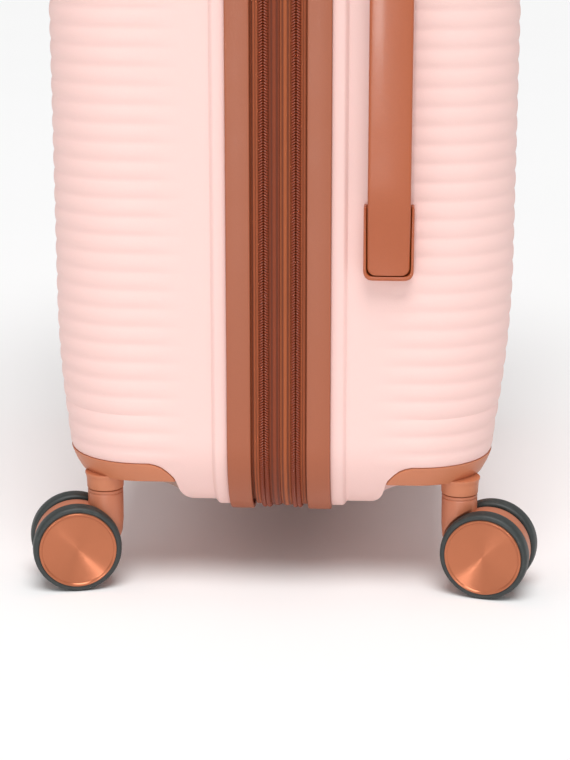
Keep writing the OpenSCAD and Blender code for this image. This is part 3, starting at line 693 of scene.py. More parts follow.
@dataclass(frozen=True)
class Form:
    """The moulded form of one half.

    depth: distance of its face from the middle of the case; arc_r, arc_len: the long arc that pulls the
    face in near both ends; grow: how far the surface lies outside the shell's side.
    """

    half: Half
    depth: float
    arc_r: float
    arc_len: float
    grow: float = 0.0
    drop: float = 5 * MM
    edge_r: float = 45 * MM
    edge_steps: int = 15

    def pull(self, z: float) -> float:
        """How far the face is pulled in at a height."""
        z = min(max(z, TRIM.corner_low), TRIM.corner_high)
        reach = max(0.0, TRIM.corner_low + self.arc_len - z, z - (TRIM.corner_high - self.arc_len))
        return reach * reach / (2 * self.arc_r)

    @property
    def edge_start(self) -> float:
        """Distance from the middle at which the edge rounding starts."""
        return self.depth - self.edge_r

    def build(self, mouth: list[Point], lap: Lap, shape: Callable[[Vector, Vector], float] | None = None
              ) -> bmesh.types.BMesh:
        """Builds the closed form.

        Args:
            mouth: (inset, distance) points from the mouth to where the plain side starts.
            lap: steps round the outline.
            shape: height to add along the normal, from a place and its normal.
        Returns:
            The bmesh, closed by one face across the mouth.
        """
        sign = self.half.value
        radius = self.edge_r + self.grow
        profile = list(mouth)
        for k in range(self.edge_steps + 1):
            turn = QUARTER * k / self.edge_steps
            profile.append((self.drop + self.edge_r - radius * math.cos(turn),
                            self.edge_start + radius * math.sin(turn)))
        bm = sweep([(inset, sign * y) for inset, y in profile], lap, closed=False)
        tall = (TRIM.corner_high - TRIM.corner_low) / 2
        mid = (TRIM.corner_high + TRIM.corner_low) / 2
        at = Matrix.Translation((0, sign * profile[-1][1], mid)) @ Matrix.Rotation(QUARTER, 4, "X")
        bmesh.ops.create_grid(bm, x_segments=lap.level, y_segments=lap.upright, size=1,
                              matrix=at @ Matrix.Diagonal((TRIM.corner_x, tall, 1, 1)))
        bmesh.ops.remove_doubles(bm, verts=bm.verts, dist=2e-5)
        rim = mouth[-1][1]
        for vert in bm.verts:
            self.settle(vert, rim, shape)
        open_edges = [e for e in bm.edges if e.is_boundary]
        bmesh.ops.contextual_create(bm, geom=open_edges)
        bmesh.ops.recalc_face_normals(bm, faces=bm.faces)
        return bm

    def settle(self, vert: bmesh.types.BMVert, rim: float,
               shape: Callable[[Vector, Vector], float] | None) -> None:
        """Moves one vertex of the form to its pulled-in place and adds the surface's shape."""
        co, sign = vert.co, self.half.value
        centre = Vector((math.copysign(min(abs(co.x), TRIM.corner_x), co.x), sign * self.edge_start,
                         min(max(co.z, TRIM.corner_low), TRIM.corner_high)))
        out = co - centre
        deep = sign * co.y
        if deep <= self.edge_start:
            out.y = 0
        normal = out.normalized() if out.length > 1e-6 else Vector((0, sign, 0))
        share = min(max((deep - rim) / (self.edge_start - rim), 0.0), 1.0)
        before = co.copy()
        co.y -= sign * self.pull(co.z) * share
        if shape and deep > rim:
            vert.co = co + normal * shape(before, normal)


def smoothstep(low_end: float, high_end: float, value: float) -> float:
    """0 below low_end, 1 above high_end, smooth between."""
    t = min(max((value - low_end) / (high_end - low_end), 0.0), 1.0)
    return t * t * (3 - 2 * t)


@dataclass(frozen=True)
class Ribs:
    """Level ribs moulded into a shell: broad crests with narrower grooves.

    pitch: distance between grooves; height: crest above groove; groove_z: height of one groove;
    fade_from, fade_to: distances from the middle of the case between which the ribs fade in.
    """

    pitch: float = 10.1 * MM
    height: float = 0.85 * MM
    groove_z: float = 286.8 * MM
    fade_from: float = 38.5 * MM
    fade_to: float = 42.5 * MM

    def lift(self, place: Vector, normal: Vector) -> float:
        """Height of the ribbed surface at a place, along its normal."""
        wave = 0.5 - 0.5 * math.cos(2 * math.pi * (place.z - self.groove_z) / self.pitch)
        shape = wave ** 0.42 - 0.6
        level_fade = 1 - smoothstep(0.72, 0.93, abs(normal.z))
        return self.height * shape * smoothstep(self.fade_from, self.fade_to, abs(place.y)) * level_fade


@dataclass(frozen=True)
class CastorWell:
    """The round recess in a shell's corner that a castor turns in, and the guard that roofs it.

    radius: of the recess; roof: dome outline above the guard's underside, as (radius, rise) pairs;
    flare: fillet that opens the recess towards the floor, as (extra radius, drop) pairs.
    """

    radius: float = 43.96 * MM
    roof: tuple[Point, ...] = ((0.0, 0.0), (-0.3 * MM, 2.5 * MM), (-1.5 * MM, 5.2 * MM), (-2.9 * MM, 7.3 * MM),
                               (-4.9 * MM, 9.3 * MM), (-7.3 * MM, 10.9 * MM), (-10 * MM, 11.9 * MM))
    flare: tuple[Point, ...] = ((17 * MM, 19.65 * MM), (12 * MM, 19.1 * MM), (8 * MM, 18.1 * MM),
                                (4.8 * MM, 16.4 * MM), (2.2 * MM, 13.8 * MM), (0.6 * MM, 10.8 * MM),
                                (0.0, 8 * MM))

    def tool(self, axis: Vector, floor: float, grow: float, flared: bool, steps: int = 96) -> bmesh.types.BMesh:
        """The solid that cuts the recess, or the dome alone.

        Args:
            axis: a point on the swivel axis.
            floor: height of the guard's underside.
            grow: amount added to the radius and the roof.
            flared: True adds the open lower part.
            steps: flats in the full turn.
        Returns:
            The bmesh in the row frame.
        """
        r = self.radius + grow
        lower = [(0.0, -45 * MM), (r + 17 * MM, -45 * MM)] + [(r + out, -down) for out, down in self.flare]
        dome = [(r + out, up + (grow if up else 0)) for out, up in self.roof]
        points = (lower if flared else [(0.0, 0.0)]) + dome
        points.append((0.0, points[-1][1]))
        return lathe(points, steps, Matrix.Translation((axis.x, axis.y, floor)))


@dataclass
class CaseHalf:
    """Shell, trim strip, corner guards and lining of one half.

    arc_r, arc_len: the long arc of its form; collar: how far the shell reaches in under the trim;
    guard_floor: height of the guards' underside; guard_grow: how far they stand out of the shell;
    guard_seam: the fine gap round them; lining_gap: distance from the shell's side to the lining.
    """

    half: Half
    palette: Palette
    arc_r: float
    arc_len: float
    wall: float = 2.2 * MM
    collar: float = 11.2 * MM
    guard_floor: float = 65 * MM
    guard_grow: float = 0.8 * MM
    guard_seam: float = 0.4 * MM
    lining_gap: float = 2.5 * MM
    lining_wall: float = 1.2 * MM
    ribs: Ribs = Ribs()
    well: CastorWell = CastorWell()

    def __post_init__(self) -> None:
        """Works out the places that come from the frame."""
        sign = self.half.value
        trim = (low(f"{self.half.prefix}_trim"), high(f"{self.half.prefix}_trim"))
        self.trim_near = min(abs(trim[0].y), abs(trim[1].y))
        self.trim_far = max(abs(trim[0].y), abs(trim[1].y))
        shell = f"{self.half.prefix}_shell"
        self.face = abs(low(shell).y if sign < 0 else high(shell).y)
        self.axes = [Vector(JOINTS[f"castor_{self.half.prefix}_{side}_swivel"]["pos_m"])
                     for side in ("right", "left")]
        self.form = Form(self.half, self.face, self.arc_r, self.arc_len)

    def mouth(self) -> list[Point]:
        """The shell's section from the collar under the trim to its plain side."""
        end = self.trim_far
        rim = [(2.95, -self.collar / MM), (2.95, -0.1), (2.75, 0.05), (2.5, 0.5), (2.5, 6.0), (2.62, 6.6),
               (3.0, 7.2), (3.75, 7.85), (4.5, 8.35), (4.9, 8.8)]
        rim += [(5.0, beyond) for beyond in (9.4, 12.0, 15.3, 17.3, 19.3, 21.8, 28.0, 40.0)]
        return [(inset, end + beyond) for inset, beyond in in_mm(rim)]

    def build_shell(self) -> None:
        """The ribbed shell with its castor recesses, solid to its real wall."""
        lap = Lap(TRIM, level=8, upright=320, turn=40)
        bm = self.form.build(self.mouth(), lap, self.ribs.lift)
        tools = [self.well.tool(axis, self.guard_floor, 0.0, True) for axis in self.axes]
        if self.half is Half.BACK:
            tools.append(self.cup_tool())
        bm = cut(bm, tools)
        mouth_y = self.trim_far - self.collar
        lids = [f for f in bm.faces if all(abs(abs(v.co.y) - mouth_y) < 1e-5 for v in f.verts)]
        bmesh.ops.delete(bm, geom=lids, context="FACES")
        obj = stand_in(bm, f"{self.half.prefix}_shell", self.palette.shell, 32)
        solid = obj.modifiers.new("wall", "SOLIDIFY")
        solid.thickness, solid.offset = self.wall, -1

    def cup_tool(self) -> bmesh.types.BMesh:
        """The block that cuts the hole for the grip's cup."""
        inner, top = low("trolley_grip"), high("trolley_grip")
        grow = 2.6 * MM
        corners = [(inner.x - grow, inner.y - grow), (top.x + grow, inner.y - grow),
                   (top.x + grow, top.y + grow), (inner.x - grow, top.y + grow)]
        return plate(rounded(corners, 8 * MM, 6), inner.z - 9 * MM, top.z + 60 * MM, Matrix.Identity(4))

    def build_trim(self) -> None:
        """The trim strip, with rounded edges and a low crown."""
        near, far, deep = self.trim_near, self.trim_far, 2.8 * MM
        crown = 0.16 * MM
        corners = [(crown, near), (0.0, (near + far) / 2), (crown, far), (deep, far), (deep, near)]
        profile = rounded(corners, 0.75 * MM, 4)
        bm = sweep([(i, self.half.value * y) for i, y in profile], Lap(TRIM, 2, 4, 28))
        stand_in(bm, f"{self.half.prefix}_trim", self.palette.trim, 40)

    def build_guards(self) -> None:
        """The two corner guards with the sockets that hold the castors."""
        guard_form = Form(self.half, self.face, self.arc_r, self.arc_len, grow=self.guard_grow, edge_steps=20)
        mouth = [(4.2 * MM, self.trim_far + 12 * MM), (4.2 * MM, self.trim_far + 30 * MM)]
        socket = [(4.5, -8), (10.2, -8), (10.3, -7.6), (10.5, -3), (10.8, -1), (11.2, 0.0), (11.2, 1.0),
                  (4.5, 1.0)]
        whole = bmesh.new()
        for axis in self.axes:
            form = guard_form.build(mouth, Lap(TRIM, 4, 60, 40))
            dome = self.well.tool(axis, self.guard_floor, -self.guard_seam, False, 160)
            guard = cut(form, [dome], "INTERSECT")
            bmesh.ops.dissolve_degenerate(guard, edges=guard.edges, dist=1e-5)
            soften(guard, 0.55 * MM, 2, 40)
            combine(whole, guard)
            combine(whole, lathe(in_mm(socket), 64, Matrix.Translation((axis.x, axis.y, self.guard_floor))))
        stand_in(whole, f"{self.half.prefix}_guards", self.palette.guard, 30)

    def build_lining(self) -> None:
        """The cloth lining, a thin skin inside the shell."""
        node = f"{self.half.prefix}_lining"
        gap = self.lining_gap
        deep = max(abs(low(node).y), abs(high(node).y)) + gap
        form = Form(self.half, deep, self.arc_r, self.arc_len, grow=-gap, edge_steps=8)
        start = self.trim_far - 2 * MM
        bm = form.build([(7.5 * MM, start), (7.5 * MM, start + 10 * MM)], Lap(TRIM, 4, 40, 12))
        radius = self.well.radius + gap
        drum = in_mm([(0.0, -40), (radius / MM, -40), (radius / MM, 1), (0.0, 1)])
        domes = [self.well.tool(axis, self.guard_floor, gap, False, 48) for axis in self.axes]
        bm = cut(bm, domes + [lathe(drum, 48, Matrix.Translation((axis.x, axis.y, self.guard_floor)))
                              for axis in self.axes])
        mouth = [f for f in bm.faces if all(abs(abs(v.co.y) - start) < 1e-5 for v in f.verts)]
        bmesh.ops.delete(bm, geom=mouth, context="FACES")
        obj = stand_in(bm, node, self.palette.lining, 40)
        solid = obj.modifiers.new("cloth", "SOLIDIFY")
        solid.thickness, solid.offset = self.lining_wall, -1

    def build(self) -> None:
        """Builds every piece of this half."""
        self.build_shell()
        self.build_trim()
        self.build_guards()
        self.build_lining()


# ---------------------------------------------------------------- zips and cloth

@dataclass
class ZipBand:
    """The two zips, the cloth between them, the gusset and the hinge cloth.

    coil: width of one half's teeth; proud: height of the teeth above the tape; pitch: of the teeth.
    """

    palette: Palette
    coil: float = 2.5 * MM
    proud: float = 4.4 * MM
    pitch: float = 1.5 * MM
    slant: float = 32.0

    def __post_init__(self) -> None:
        """Makes the one lap of teeth that every zip half copies."""
        self.lap_of_teeth = self.teeth_lap()

    def build_half(self, node: str, name: str, mid: float, side: int, end: float) -> None:
        """One half of a zip: its tape and, on it, the coil.

        Args:
            node: CAD node the tape stands for.
            name: name of the pieces.
            mid: y of the zip's middle.
            side: -1 or 1, the side of the middle that this half lies on.
            end: y where the tape ends.
        """
        body = body_of(node)
        inset, raised = 5.2 * MM, 2.8 * MM
        near, brink = mid + side * 0.1 * MM, mid + side * 5.6 * MM
        tape = rounded([(raised, near), (raised, brink), (inset, brink + side * 1.2 * MM), (inset, end),
                        (inset + 0.8 * MM, end), (inset + 0.8 * MM, near)], 0.2 * MM, 1)
        bm = sweep(tape, Lap(TRIM, 1, 1, 20))
        cord = [(inset - 2.6 * MM, near + side * 0.3 * MM), (inset - 2.6 * MM, near + side * self.coil),
                (inset + 0.1 * MM, near + side * (self.coil + 0.5 * MM)), (inset + 0.1 * MM, near)]
        combine(bm, sweep(rounded(cord, 0.5 * MM, 2), Lap(TRIM, 1, 1, 20)))
        mark_run(bm)
        finish_piece(bm, f"{name}_tape", body, self.palette.tape, 40, [node])
        self.build_teeth(name, body, near + side * self.coil / 2, side)

    def teeth_lap(self) -> bpy.types.Mesh:
        """One coil's slanted loops round the trim, about y = 0, as a mesh to copy."""
        inset = 5.2 * MM - self.proud + 1.3 * MM
        bm = bmesh.new()
        o = TRIM
        place = Matrix.Translation((-o.corner_x, 0, o.bottom + inset))
        place = place @ Matrix.Rotation(math.radians(self.slant), 4, "Z")
        size = Matrix.Diagonal((self.pitch * 0.47, self.coil * 0.68, 1.3 * MM, 1))
        bmesh.ops.create_uvsphere(bm, u_segments=10, v_segments=6, radius=1, matrix=place @ size)
        geom = [*bm.verts, *bm.edges, *bm.faces]
        wide, tall = 2 * o.corner_x, o.corner_high - o.corner_low
        arc = QUARTER * (o.radius - inset)
        Lap(o, round(wide / self.pitch), round(tall / self.pitch), round(arc / self.pitch)).run(bm, geom, True)
        mesh = bpy.data.meshes.new("teeth")
        bm.to_mesh(mesh)
        bm.free()
        return mesh

    def build_teeth(self, name: str, body: str, y: float, side: int) -> None:
        """One zip half's coil: the lap of teeth, mirrored for the far side, moved to its y."""
        bm = bmesh.new()
        bm.from_mesh(self.lap_of_teeth)
        bm.transform(Matrix.Translation((0, y, 0)) @ Matrix.Diagonal((1, side, 1, 1)))
        finish_piece(bm, f"{name}_teeth", body, self.palette.teeth, 60)

    def build_strip(self) -> None:
        """The two cloth strips between the zips, with the fold line between them."""
        node = "strip_between_zips"
        first, last = low(node).y, high(node).y
        fold = first + 0.5 * (last - first)
        top, deep = 1.85 * MM, 5.2 * MM
        half_fold = 0.22 * MM
        points: list[Point] = [(deep, first), (top + 0.9 * MM, first)]
        for start, end in ((first, fold - half_fold), (fold + half_fold, last)):
            for k in range(9):
                t = k / 8
                crown = 0.75 * MM * (abs(2 * t - 1) ** 2.6)
                points.append((top + crown, start + 0.15 * MM + t * (end - start - 0.3 * MM)))
            if start == first:
                points.append((top + 2.0 * MM, fold))
        points += [(top + 0.9 * MM, last), (deep, last)]
        bm = sweep(points, Lap(TRIM, 1, 1, 28))
        mark_run(bm)
        finish_piece(bm, "band_cloth", body_of(node), self.palette.strip, 50, [node])

    def build_gusset(self) -> None:
        """The expansion gusset, folded in a pleat, between the back half and the band."""
        first, last = low("gusset").y, high("gusset").y
        t = 0.8 * MM
        span = last - first
        skin = [(6.0, 0.0), (8.2, 0.02), (8.4, 0.2), (9.0, 0.38), (14.0, 0.46), (14.6, 0.5), (14.0, 0.54),
                (9.0, 0.62), (8.4, 0.8), (8.2, 0.98), (6.0, 1.0)]
        outer = [(i * MM, first + share * span) for i, share in skin]
        inner = []
        for i, y in reversed(outer):
            sewn_edge = not 0.1 < (y - first) / span < 0.9
            inner.append((i + t, y + (math.copysign(t, first + span / 2 - y) if sewn_edge else 0.0)))
        bm = sweep(outer + inner, Lap(TRIM, 1, 1, 16))
        mark_run(bm)
        obj = finish_piece(bm, "gusset_cloth_piece", None, self.palette.cloth, 50, ["gusset"])
        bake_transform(obj)

    def build_hinge(self) -> None:
        """The cloth that joins lid and band on the hinge side."""
        lo, hi = low("hinge_fabric"), high("hinge_fabric")
        bm = box_mesh(lo, hi)
        across = [e for e in bm.edges if abs(e.verts[0].co.y - e.verts[1].co.y) > 1e-4]
        bmesh.ops.subdivide_edges(bm, edges=across, cuts=18, use_grid_fill=True)
        mark_run(bm)
        obj = finish_piece(bm, "hinge_cloth_piece", None, self.palette.cloth, 50,
                           ["hinge_fabric"])
        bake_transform(obj)

    def build(self) -> None:
        """Builds every piece of the band."""
        main_y = JOINTS["tab_upper_swing"]["pos_m"][1]
        side_y = JOINTS["tab_expansion_swing"]["pos_m"][1]
        self.build_half("lid_zip_half", "lid_zip", main_y, -1, low("lid_zip_half").y)
        self.build_half("mid_zip_halves", "mid_zip_main", main_y, 1, -0.6 * MM)
        self.build_half("mid_zip_halves", "mid_zip_side", side_y, -1, 0.6 * MM)
        self.build_half("back_zip_half", "back_zip", side_y, 1, high("back_zip_half").y)
        self.build_strip()
        self.build_gusset()
        self.build_hinge()
        bpy.data.meshes.remove(self.lap_of_teeth)
        for node in ("main_slider_upper", "main_slider_lower", "expansion_slider"):
            softened(node, self.palette.plated, 0.25 * MM)
        for node in ("main_tab_upper", "main_tab_lower", "expansion_tab"):
            softened(node, self.palette.plated, 0.3 * MM)


# ---------------------------------------------------------------- carry handles

class Side(Enum):
    """Where a carry handle sits."""

    SIDE = "side_handle"
    TOP = "top_handle"


@dataclass
class CarryHandle:
    """A strap handle and its two end trays, drawn along x on z = 0 and turned into place."""

    side: Side
    palette: Palette
    tray_l: float = 40 * MM
    lift: float = 9.5 * MM
    thick: float = 4.4 * MM
    rim: float = 1.55 * MM
    gap: float = 0.5 * MM

    def __post_init__(self) -> None:
        """Takes length, width and place from the frame."""
        node = f"{self.side.value}_trays"
        lo, hi = low(node), high(node)
        self.tray_w = hi.y - lo.y
        self.strap_w = self.tray_w - 2 * (self.rim + self.gap)
        if self.side is Side.SIDE:
            self.length, self.tray_t = hi.z - lo.z, hi.x - lo.x
            turn = Matrix(((0, 0, 1, 0), (0, -1, 0, 0), (1, 0, 0, 0), (0, 0, 0, 1)))
            self.place = Matrix.Translation((lo.x, (lo.y + hi.y) / 2, lo.z)) @ turn
        else:
            self.length, self.tray_t = hi.x - lo.x, hi.z - lo.z
            self.place = Matrix.Translation((lo.x, (lo.y + hi.y) / 2, lo.z))

    def build_trays(self) -> None:
        """The two trays, each an open tub with a rounded rim."""
        whole = bmesh.new()
        half = self.tray_w / 2
        for near, far in ((0.0, self.tray_l), (self.length - self.tray_l, self.length)):
            spare = 8 * MM
            start, stop = (near, far + spare) if near == 0 else (near - spare, far)
            tub = plate(rounded([(start, -half), (stop, -half), (stop, half), (start, half)], 5.5 * MM, 6), 0.0,
                        self.tray_t, Matrix.Identity(4))
            mouth = (far, far + 2 * spare) if near == 0 else (near - 2 * spare, near)
            first = near + 2.2 * MM if near == 0 else near - 2 * spare
            last = far + 2 * spare if near == 0 else far - 2.2 * MM
            pocket = self.strap_w / 2 + self.gap
            corners = [(first, -pocket), (last, -pocket), (last, pocket), (first, pocket)]
            square_end = box_mesh(Vector((mouth[0], -2 * half, -spare)),
                                  Vector((mouth[1], 2 * half, 2 * spare)))
            hollow = plate(rounded(corners, 4 * MM, 5), 3 * MM, self.tray_t + 5 * MM, Matrix.Identity(4))
            tub = cut(tub, [hollow, square_end])
            soften(tub, 0.6 * MM, 3, 35)
            combine(whole, tub)
        whole.transform(self.place)
        stand_in(whole, f"{self.side.value}_trays", self.palette.handle, 40)

    def build_strap(self) -> None:
        """The strap, thicker in its middle, with rounded ends lying in the trays."""
        half, corner, foot_h = self.strap_w / 2, 4 * MM, 3.5 * MM
        first, mid = 2.9 * MM, self.length / 2
        crest = self.lift + self.thick
        runs = [first + corner * (1 - math.cos(QUARTER * k / 6)) for k in range(7)]
        runs += [first + corner + (mid - first - corner) * k / 30 for k in range(1, 31)]
        bm = bmesh.new()
        rings = []
        for x in runs + [self.length - x for x in reversed(runs[:-1])]:
            reach = min(x, self.length - x)
            bend = max(0.0, first + corner - reach)
            wide = half - corner + math.sqrt(max(corner * corner - bend * bend, 0.0))
            rise = smoothstep(self.tray_l - 2 * MM, self.tray_l + 22 * MM, reach)
            low_h = foot_h + (self.lift - foot_h) * rise
            top_h = self.tray_t + (crest - self.tray_t) * smoothstep(first, self.tray_l + 14 * MM, reach)
            round_r = 1.5 * MM * min(1.0, (reach - first) / MM + 0.3)
            section = rounded([(-wide, low_h), (wide, low_h), (wide, top_h - 0.2 * MM), (0.0, top_h),
                               (-wide, top_h - 0.2 * MM)], round_r, 4)
            rings.append(chain(bm, [Vector((x, y, h)) for y, h in section], True))
        for before, after in zip(rings, rings[1:]):
            bmesh.ops.bridge_loops(bm, edges=before + after)
        for end in (rings[0], rings[-1]):
            bmesh.ops.contextual_create(bm, geom=end)
        bm.transform(self.place)
        stand_in(bm, f"{self.side.value}_strap", self.palette.handle, 50)

    def build(self) -> None:
        """Builds trays and strap."""
        self.build_trays()
        self.build_strap()


# ---------------------------------------------------------------- castors

@dataclass
class Castor:
    """One twin-wheel castor: fork with its stem and fender, two tyres and two capped hubs.

    wheel_in: distance from the castor's middle to a wheel; tool_r: radius scooped clear for a wheel;
    fender_r: radius of the fender; fender_low: how far below the axle it ends.
    """

    place: str
    palette: Palette
    wheel_in: float = 6 * MM
    tool_r: float = 26 * MM
    fender_r: float = 23.4 * MM
    fender_low: float = 9 * MM

    def __post_init__(self) -> None:
        """Takes the swivel axis and the axle from the record."""
        self.swivel = Vector(JOINTS[f"castor_{self.place}_swivel"]["pos_m"])
        roll = JOINTS[f"wheel_{self.place}_a_roll"]
        self.axle = Vector(roll["pos_m"])
        self.across = Vector(roll["axis"]).normalized()

    def on_axle(self, side: int, offset: float) -> Matrix:
        """Frame on the axle with z pointing out of the castor on one side."""
        out = self.across * side
        turn = out.to_track_quat("Z", "Y").to_matrix().to_4x4()
        return Matrix.Translation(self.axle + out * offset) @ turn

    def build_fork(self) -> None:
        """Stem, scooped clear of both wheels, and the arched fender between them."""
        profile = [(0.0, 56.5), (9.3, 56.5), (9.9, 56.1), (10.0, 55.6), (10.0, 54.9), (9.6, 54.6), (9.6, 54.2),
                   (10.0, 53.9), (10.0, 45.0), (9.9, 38.0), (9.3, 31.0), (8.2, 27.6), (6.5, 26.2), (0.0, 26.0)]
        stem = lathe(in_mm(profile), 72, Matrix.Translation((self.swivel.x, self.swivel.y, 0)))
        scoop = [(0.0, 0.0), (self.tool_r, 0.0), (self.tool_r, 30 * MM), (0.0, 30 * MM)]
        tools = [lathe(scoop, 96, self.on_axle(side, self.wheel_in - 0.8 * MM)) for side in (1, -1)]
        whole = cut(stem, tools)
        soften(whole, 0.35 * MM, 2, 40)
        half = self.wheel_in - 1.6 * MM
        ring = [(3.0 * MM, -half), (self.fender_r, -half), (self.fender_r, half), (3.0 * MM, half)]
        fender = lathe(rounded(ring, 1.2 * MM, 3), 96, self.on_axle(1, 0.0))
        reach = Vector((40, 40, 0)) * MM
        tool = box_mesh(self.axle - reach - Vector((0, 0, 40 * MM)),
                        self.axle + reach - Vector((0, 0, self.fender_low)))
        fender = cut(fender, [tool])
        combine(whole, fender)
        stand_in(whole, f"fork_{self.place}", self.palette.castor, 38)

    def build_wheel(self, key: str, side: int) -> None:
        """One wheel: tyre and hub with its dished cap, as (radius, height) from the wheel's inner face."""
        tyre = [(21.7, 0.8), (23.2, 0.6), (24.2, 1.0), (24.75, 2.0), (24.95, 3.4), (25.0, 5.5), (24.95, 7.6),
                (24.75, 9.0), (24.2, 10.0), (23.2, 10.4), (22.3, 10.3), (21.7, 10.0)]
        at = self.on_axle(side, self.wheel_in)
        stand_in(lathe(in_mm(tyre), 96, at), f"tyre_{self.place}_{key}", self.palette.rubber, 40)
        hub = [(0.0, 9.05), (1.6, 9.06), (3.0, 9.1), (19.2, 10.2), (19.9, 10.35), (20.3, 10.75), (20.7, 11.0),
               (21.2, 11.05), (21.6, 10.85), (21.72, 10.4), (21.72, 1.2), (8.0, 1.0), (7.0, 0.0), (2.1, 0.0),
               (2.1, 8.7), (0.0, 8.7)]
        stand_in(lathe(in_mm(hub), 96, at), f"hub_{self.place}_{key}", self.palette.cap, 30)

    def build(self) -> None:
        """Builds the castor."""
        self.build_fork()
        self.build_wheel("a", 1)
        self.build_wheel("b", -1)
        dress(self.palette.steel, f"axle_{self.place}")


# ---------------------------------------------------------------- lock, telescopic handle and straps

@dataclass
class Fittings:
    """Lock with its dials, telescopic handle and packing straps."""

    palette: Palette
    digits: int = 10

    def build_lock(self) -> None:
        """Lock body, latch and the three number dials."""
        softened("lock_body", self.palette.guard, 0.5 * MM)
        softened("lock_latch", self.palette.plated, 0.4 * MM)
        for key in ("upper", "middle", "lower"):
            node = f"lock_dial_{key}"
            lo, hi = low(node), high(node)
            axis = (lo + hi) / 2
            r, half, bore = (hi.x - lo.x) / 2, (hi.z - lo.z) / 2, 1.48 * MM
            r -= 0.25 * MM
            section = rounded([(bore, -half), (r, -half), (r, half), (bore, half)], 0.4 * MM, 2)
            bm = lathe(section, 60, Matrix.Translation(axis))
            stand_in(bm, node, self.palette.dial, 40)
            self.build_digits(key, axis, r)

    def build_digits(self, key: str, axis: Vector, radius: float) -> None:
        """Ten plain digits round a dial, made of short bars."""
        bars = {"a": (0, 1, 1), "b": (1, 0.5, 0), "c": (1, -0.5, 0), "d": (0, -1, 1), "e": (-1, -0.5, 0),
                "f": (-1, 0.5, 0), "g": (0, 0, 1)}
        shown = ("abcdef", "bc", "abged", "abgcd", "fgbc", "afgcd", "afgedc", "abc", "abcdefg", "abcdfg")
        wide, tall, line = 0.55 * MM, 1.1 * MM, 0.16 * MM
        bm = bmesh.new()
        for number, used in enumerate(shown):
            turn = Matrix.Rotation(2 * math.pi * number / self.digits, 4, "Z")
            for bar in used:
                sx, sz, level = bars[bar]
                size = (0.12 * MM, 2 * wide + line if level else line, line if level else tall + line)
                at = Matrix.Translation(axis) @ turn @ Matrix.Translation((radius, sx * wide, sz * tall))
                bmesh.ops.create_cube(bm, size=1, matrix=at @ Matrix.Diagonal((*size, 1)))
        finish_piece(bm, f"dial_digits_{key}", f"dial_{key}", self.palette.ink, 30)

    def build_trolley(self) -> None:
        """Cup, grip, release button and the three stages of tubes."""
        softened("trolley_cup", self.palette.guard, 0.6 * MM)
        softened("trolley_grip", self.palette.handle, 1.2 * MM)
        softened("release_button", self.palette.button, 0.7 * MM)
        dress(self.palette.tube, "trolley_sleeves", "trolley_lower_tubes", "trolley_upper_tubes")

    def build_straps(self) -> None:
        """Two webbing straps that cross on the back lining, joined by a buckle."""
        lo, hi = low("packing_straps"), high("packing_straps")
        centre = (lo + hi) / 2
        half = Vector((120 * MM, (hi.y - lo.y) / 2, 12.5 * MM))
        whole = bmesh.new()
        for sign in (-1, 1):
            strap = box_mesh(-half, half, 0.4 * MM, 2)
            strap.transform(Matrix.Translation(centre) @ Matrix.Rotation(math.radians(35 * sign), 4, "Y"))
            combine(whole, strap)
        stand_in(whole, "packing_straps", self.palette.webbing, 40)
        size = Vector((22, 2.2, 17)) * MM
        at = centre - Vector((0, 2.0 * MM, 0))
        finish_piece(box_mesh(at - size, at + size, 1.5 * MM, 3), "strap_buckle", "back_half",
                     self.palette.button, 40)

    def build(self) -> None:
        """Builds lock, telescopic handle and packing straps."""
        self.build_lock()
        self.build_trolley()
        self.build_straps()


# ---------------------------------------------------------------- studio

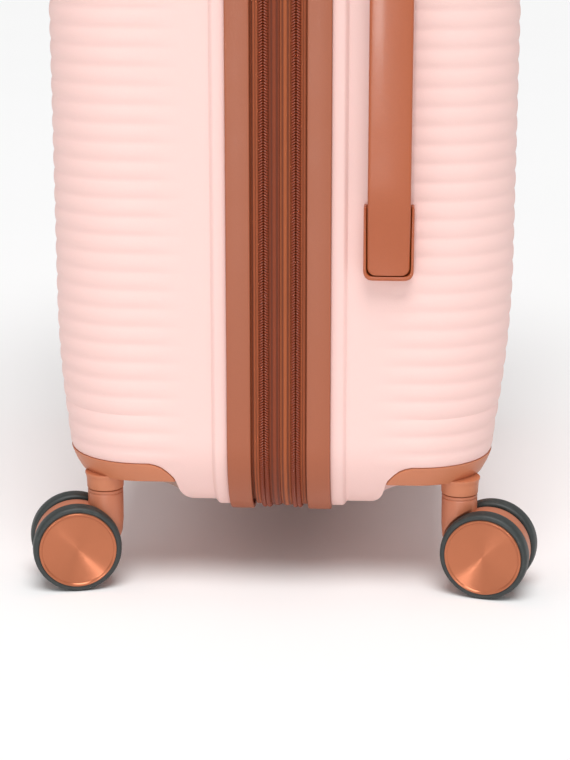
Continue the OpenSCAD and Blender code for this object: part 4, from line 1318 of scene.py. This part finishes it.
@dataclass
class Studio:
    """Pale floor, soft lights and the camera."""

    camera_at: Vector
    heading: float = 3.0
    tilt: float = 15.9
    lens: float = 104.0

    def build_floor(self) -> None:
        """A large pale floor, not part of the object."""
        bm = bmesh.new()
        bmesh.ops.create_grid(bm, x_segments=1, y_segments=1, size=30)
        mesh = bpy.data.meshes.new("floor")
        bm.to_mesh(mesh)
        bm.free()
        obj = bpy.data.objects.new("floor", mesh)
        bpy.context.scene.collection.objects.link(obj)
        n = Nodes("floor paper")
        tone = n.mix(n.noise(n.coords(), 3.0), rgba((0.94, 0.94, 0.94)), rgba((0.96, 0.96, 0.96)))
        n.put(n.shader, "Base Color", tone)
        n.put(n.shader, "Roughness", 0.85)
        mesh.materials.append(n.material)

    def build_light(self, name: str, at: Vector, aim: Vector, size: float, power: float) -> None:
        """A square soft light that points at a place."""
        data = bpy.data.lights.new(name, "AREA")
        data.size, data.energy = size, power
        obj = bpy.data.objects.new(name, data)
        bpy.context.scene.collection.objects.link(obj)
        obj.location = at
        obj.rotation_euler = (aim - at).to_track_quat("-Z", "Y").to_euler()

    def build_lights(self) -> None:
        """A broad sun, weak key and fill lights, a small front light and an even surround."""
        aim = Vector((0, 0, 0.25))
        sun = bpy.data.lights.new("sun", "SUN")
        sun.energy, sun.angle = 2.2, math.radians(35)
        holder = bpy.data.objects.new("sun", sun)
        bpy.context.scene.collection.objects.link(holder)
        holder.rotation_euler = Vector((-0.5, -0.06, -1.0)).to_track_quat("-Z", "Y").to_euler()
        self.build_light("key", Vector((1.6, -1.7, 1.7)), aim, 1.4, 5)
        self.build_light("fill", Vector((1.7, 1.9, 1.3)), aim, 1.6, 3)
        self.build_light("front", Vector((2.4, -0.23, 0.12)), Vector((0.19, 0, 0.06)), 0.2, 7)
        world = bpy.data.worlds.new("surround")
        world.use_nodes = True
        world.node_tree.nodes["Background"].inputs[0].default_value = (1, 1, 1, 1)
        world.node_tree.nodes["Background"].inputs[1].default_value = 0.38
        bpy.context.scene.world = world
        bpy.context.scene.view_settings.view_transform = "Standard"

    def build_camera(self) -> None:
        """The camera, without depth of field."""
        data = bpy.data.cameras.new("camera")
        data.lens, data.sensor_width = self.lens, 36
        obj = bpy.data.objects.new("camera", data)
        bpy.context.scene.collection.objects.link(obj)
        obj.location = self.camera_at
        turn, tilt = math.radians(self.heading), math.radians(self.tilt)
        look = Vector((-math.cos(turn) * math.cos(tilt), -math.sin(turn) * math.cos(tilt), -math.sin(tilt)))
        obj.rotation_euler = look.to_track_quat("-Z", "Y").to_euler()
        bpy.context.scene.camera = obj

    def build(self) -> None:
        """Builds floor, lights and camera."""
        self.build_floor()
        self.build_lights()
        self.build_camera()


def main() -> None:
    """Builds the whole suitcase and the studio."""
    palette = Palette()
    CaseHalf(Half.LID, palette, arc_r=600 * MM, arc_len=74 * MM).build()
    CaseHalf(Half.BACK, palette, arc_r=620 * MM, arc_len=99 * MM).build()
    ZipBand(palette).build()
    for side in Side:
        CarryHandle(side, palette).build()
    for place in ("lid_right", "lid_left", "back_right", "back_left"):
        Castor(place, palette).build()
    Fittings(palette).build()
    Studio(camera_at=Vector((1.3355, 0.0637, 0.455))).build()


if __name__ == "__main__":
    logging.basicConfig(level=logging.INFO, format="%(message)s")
    main()
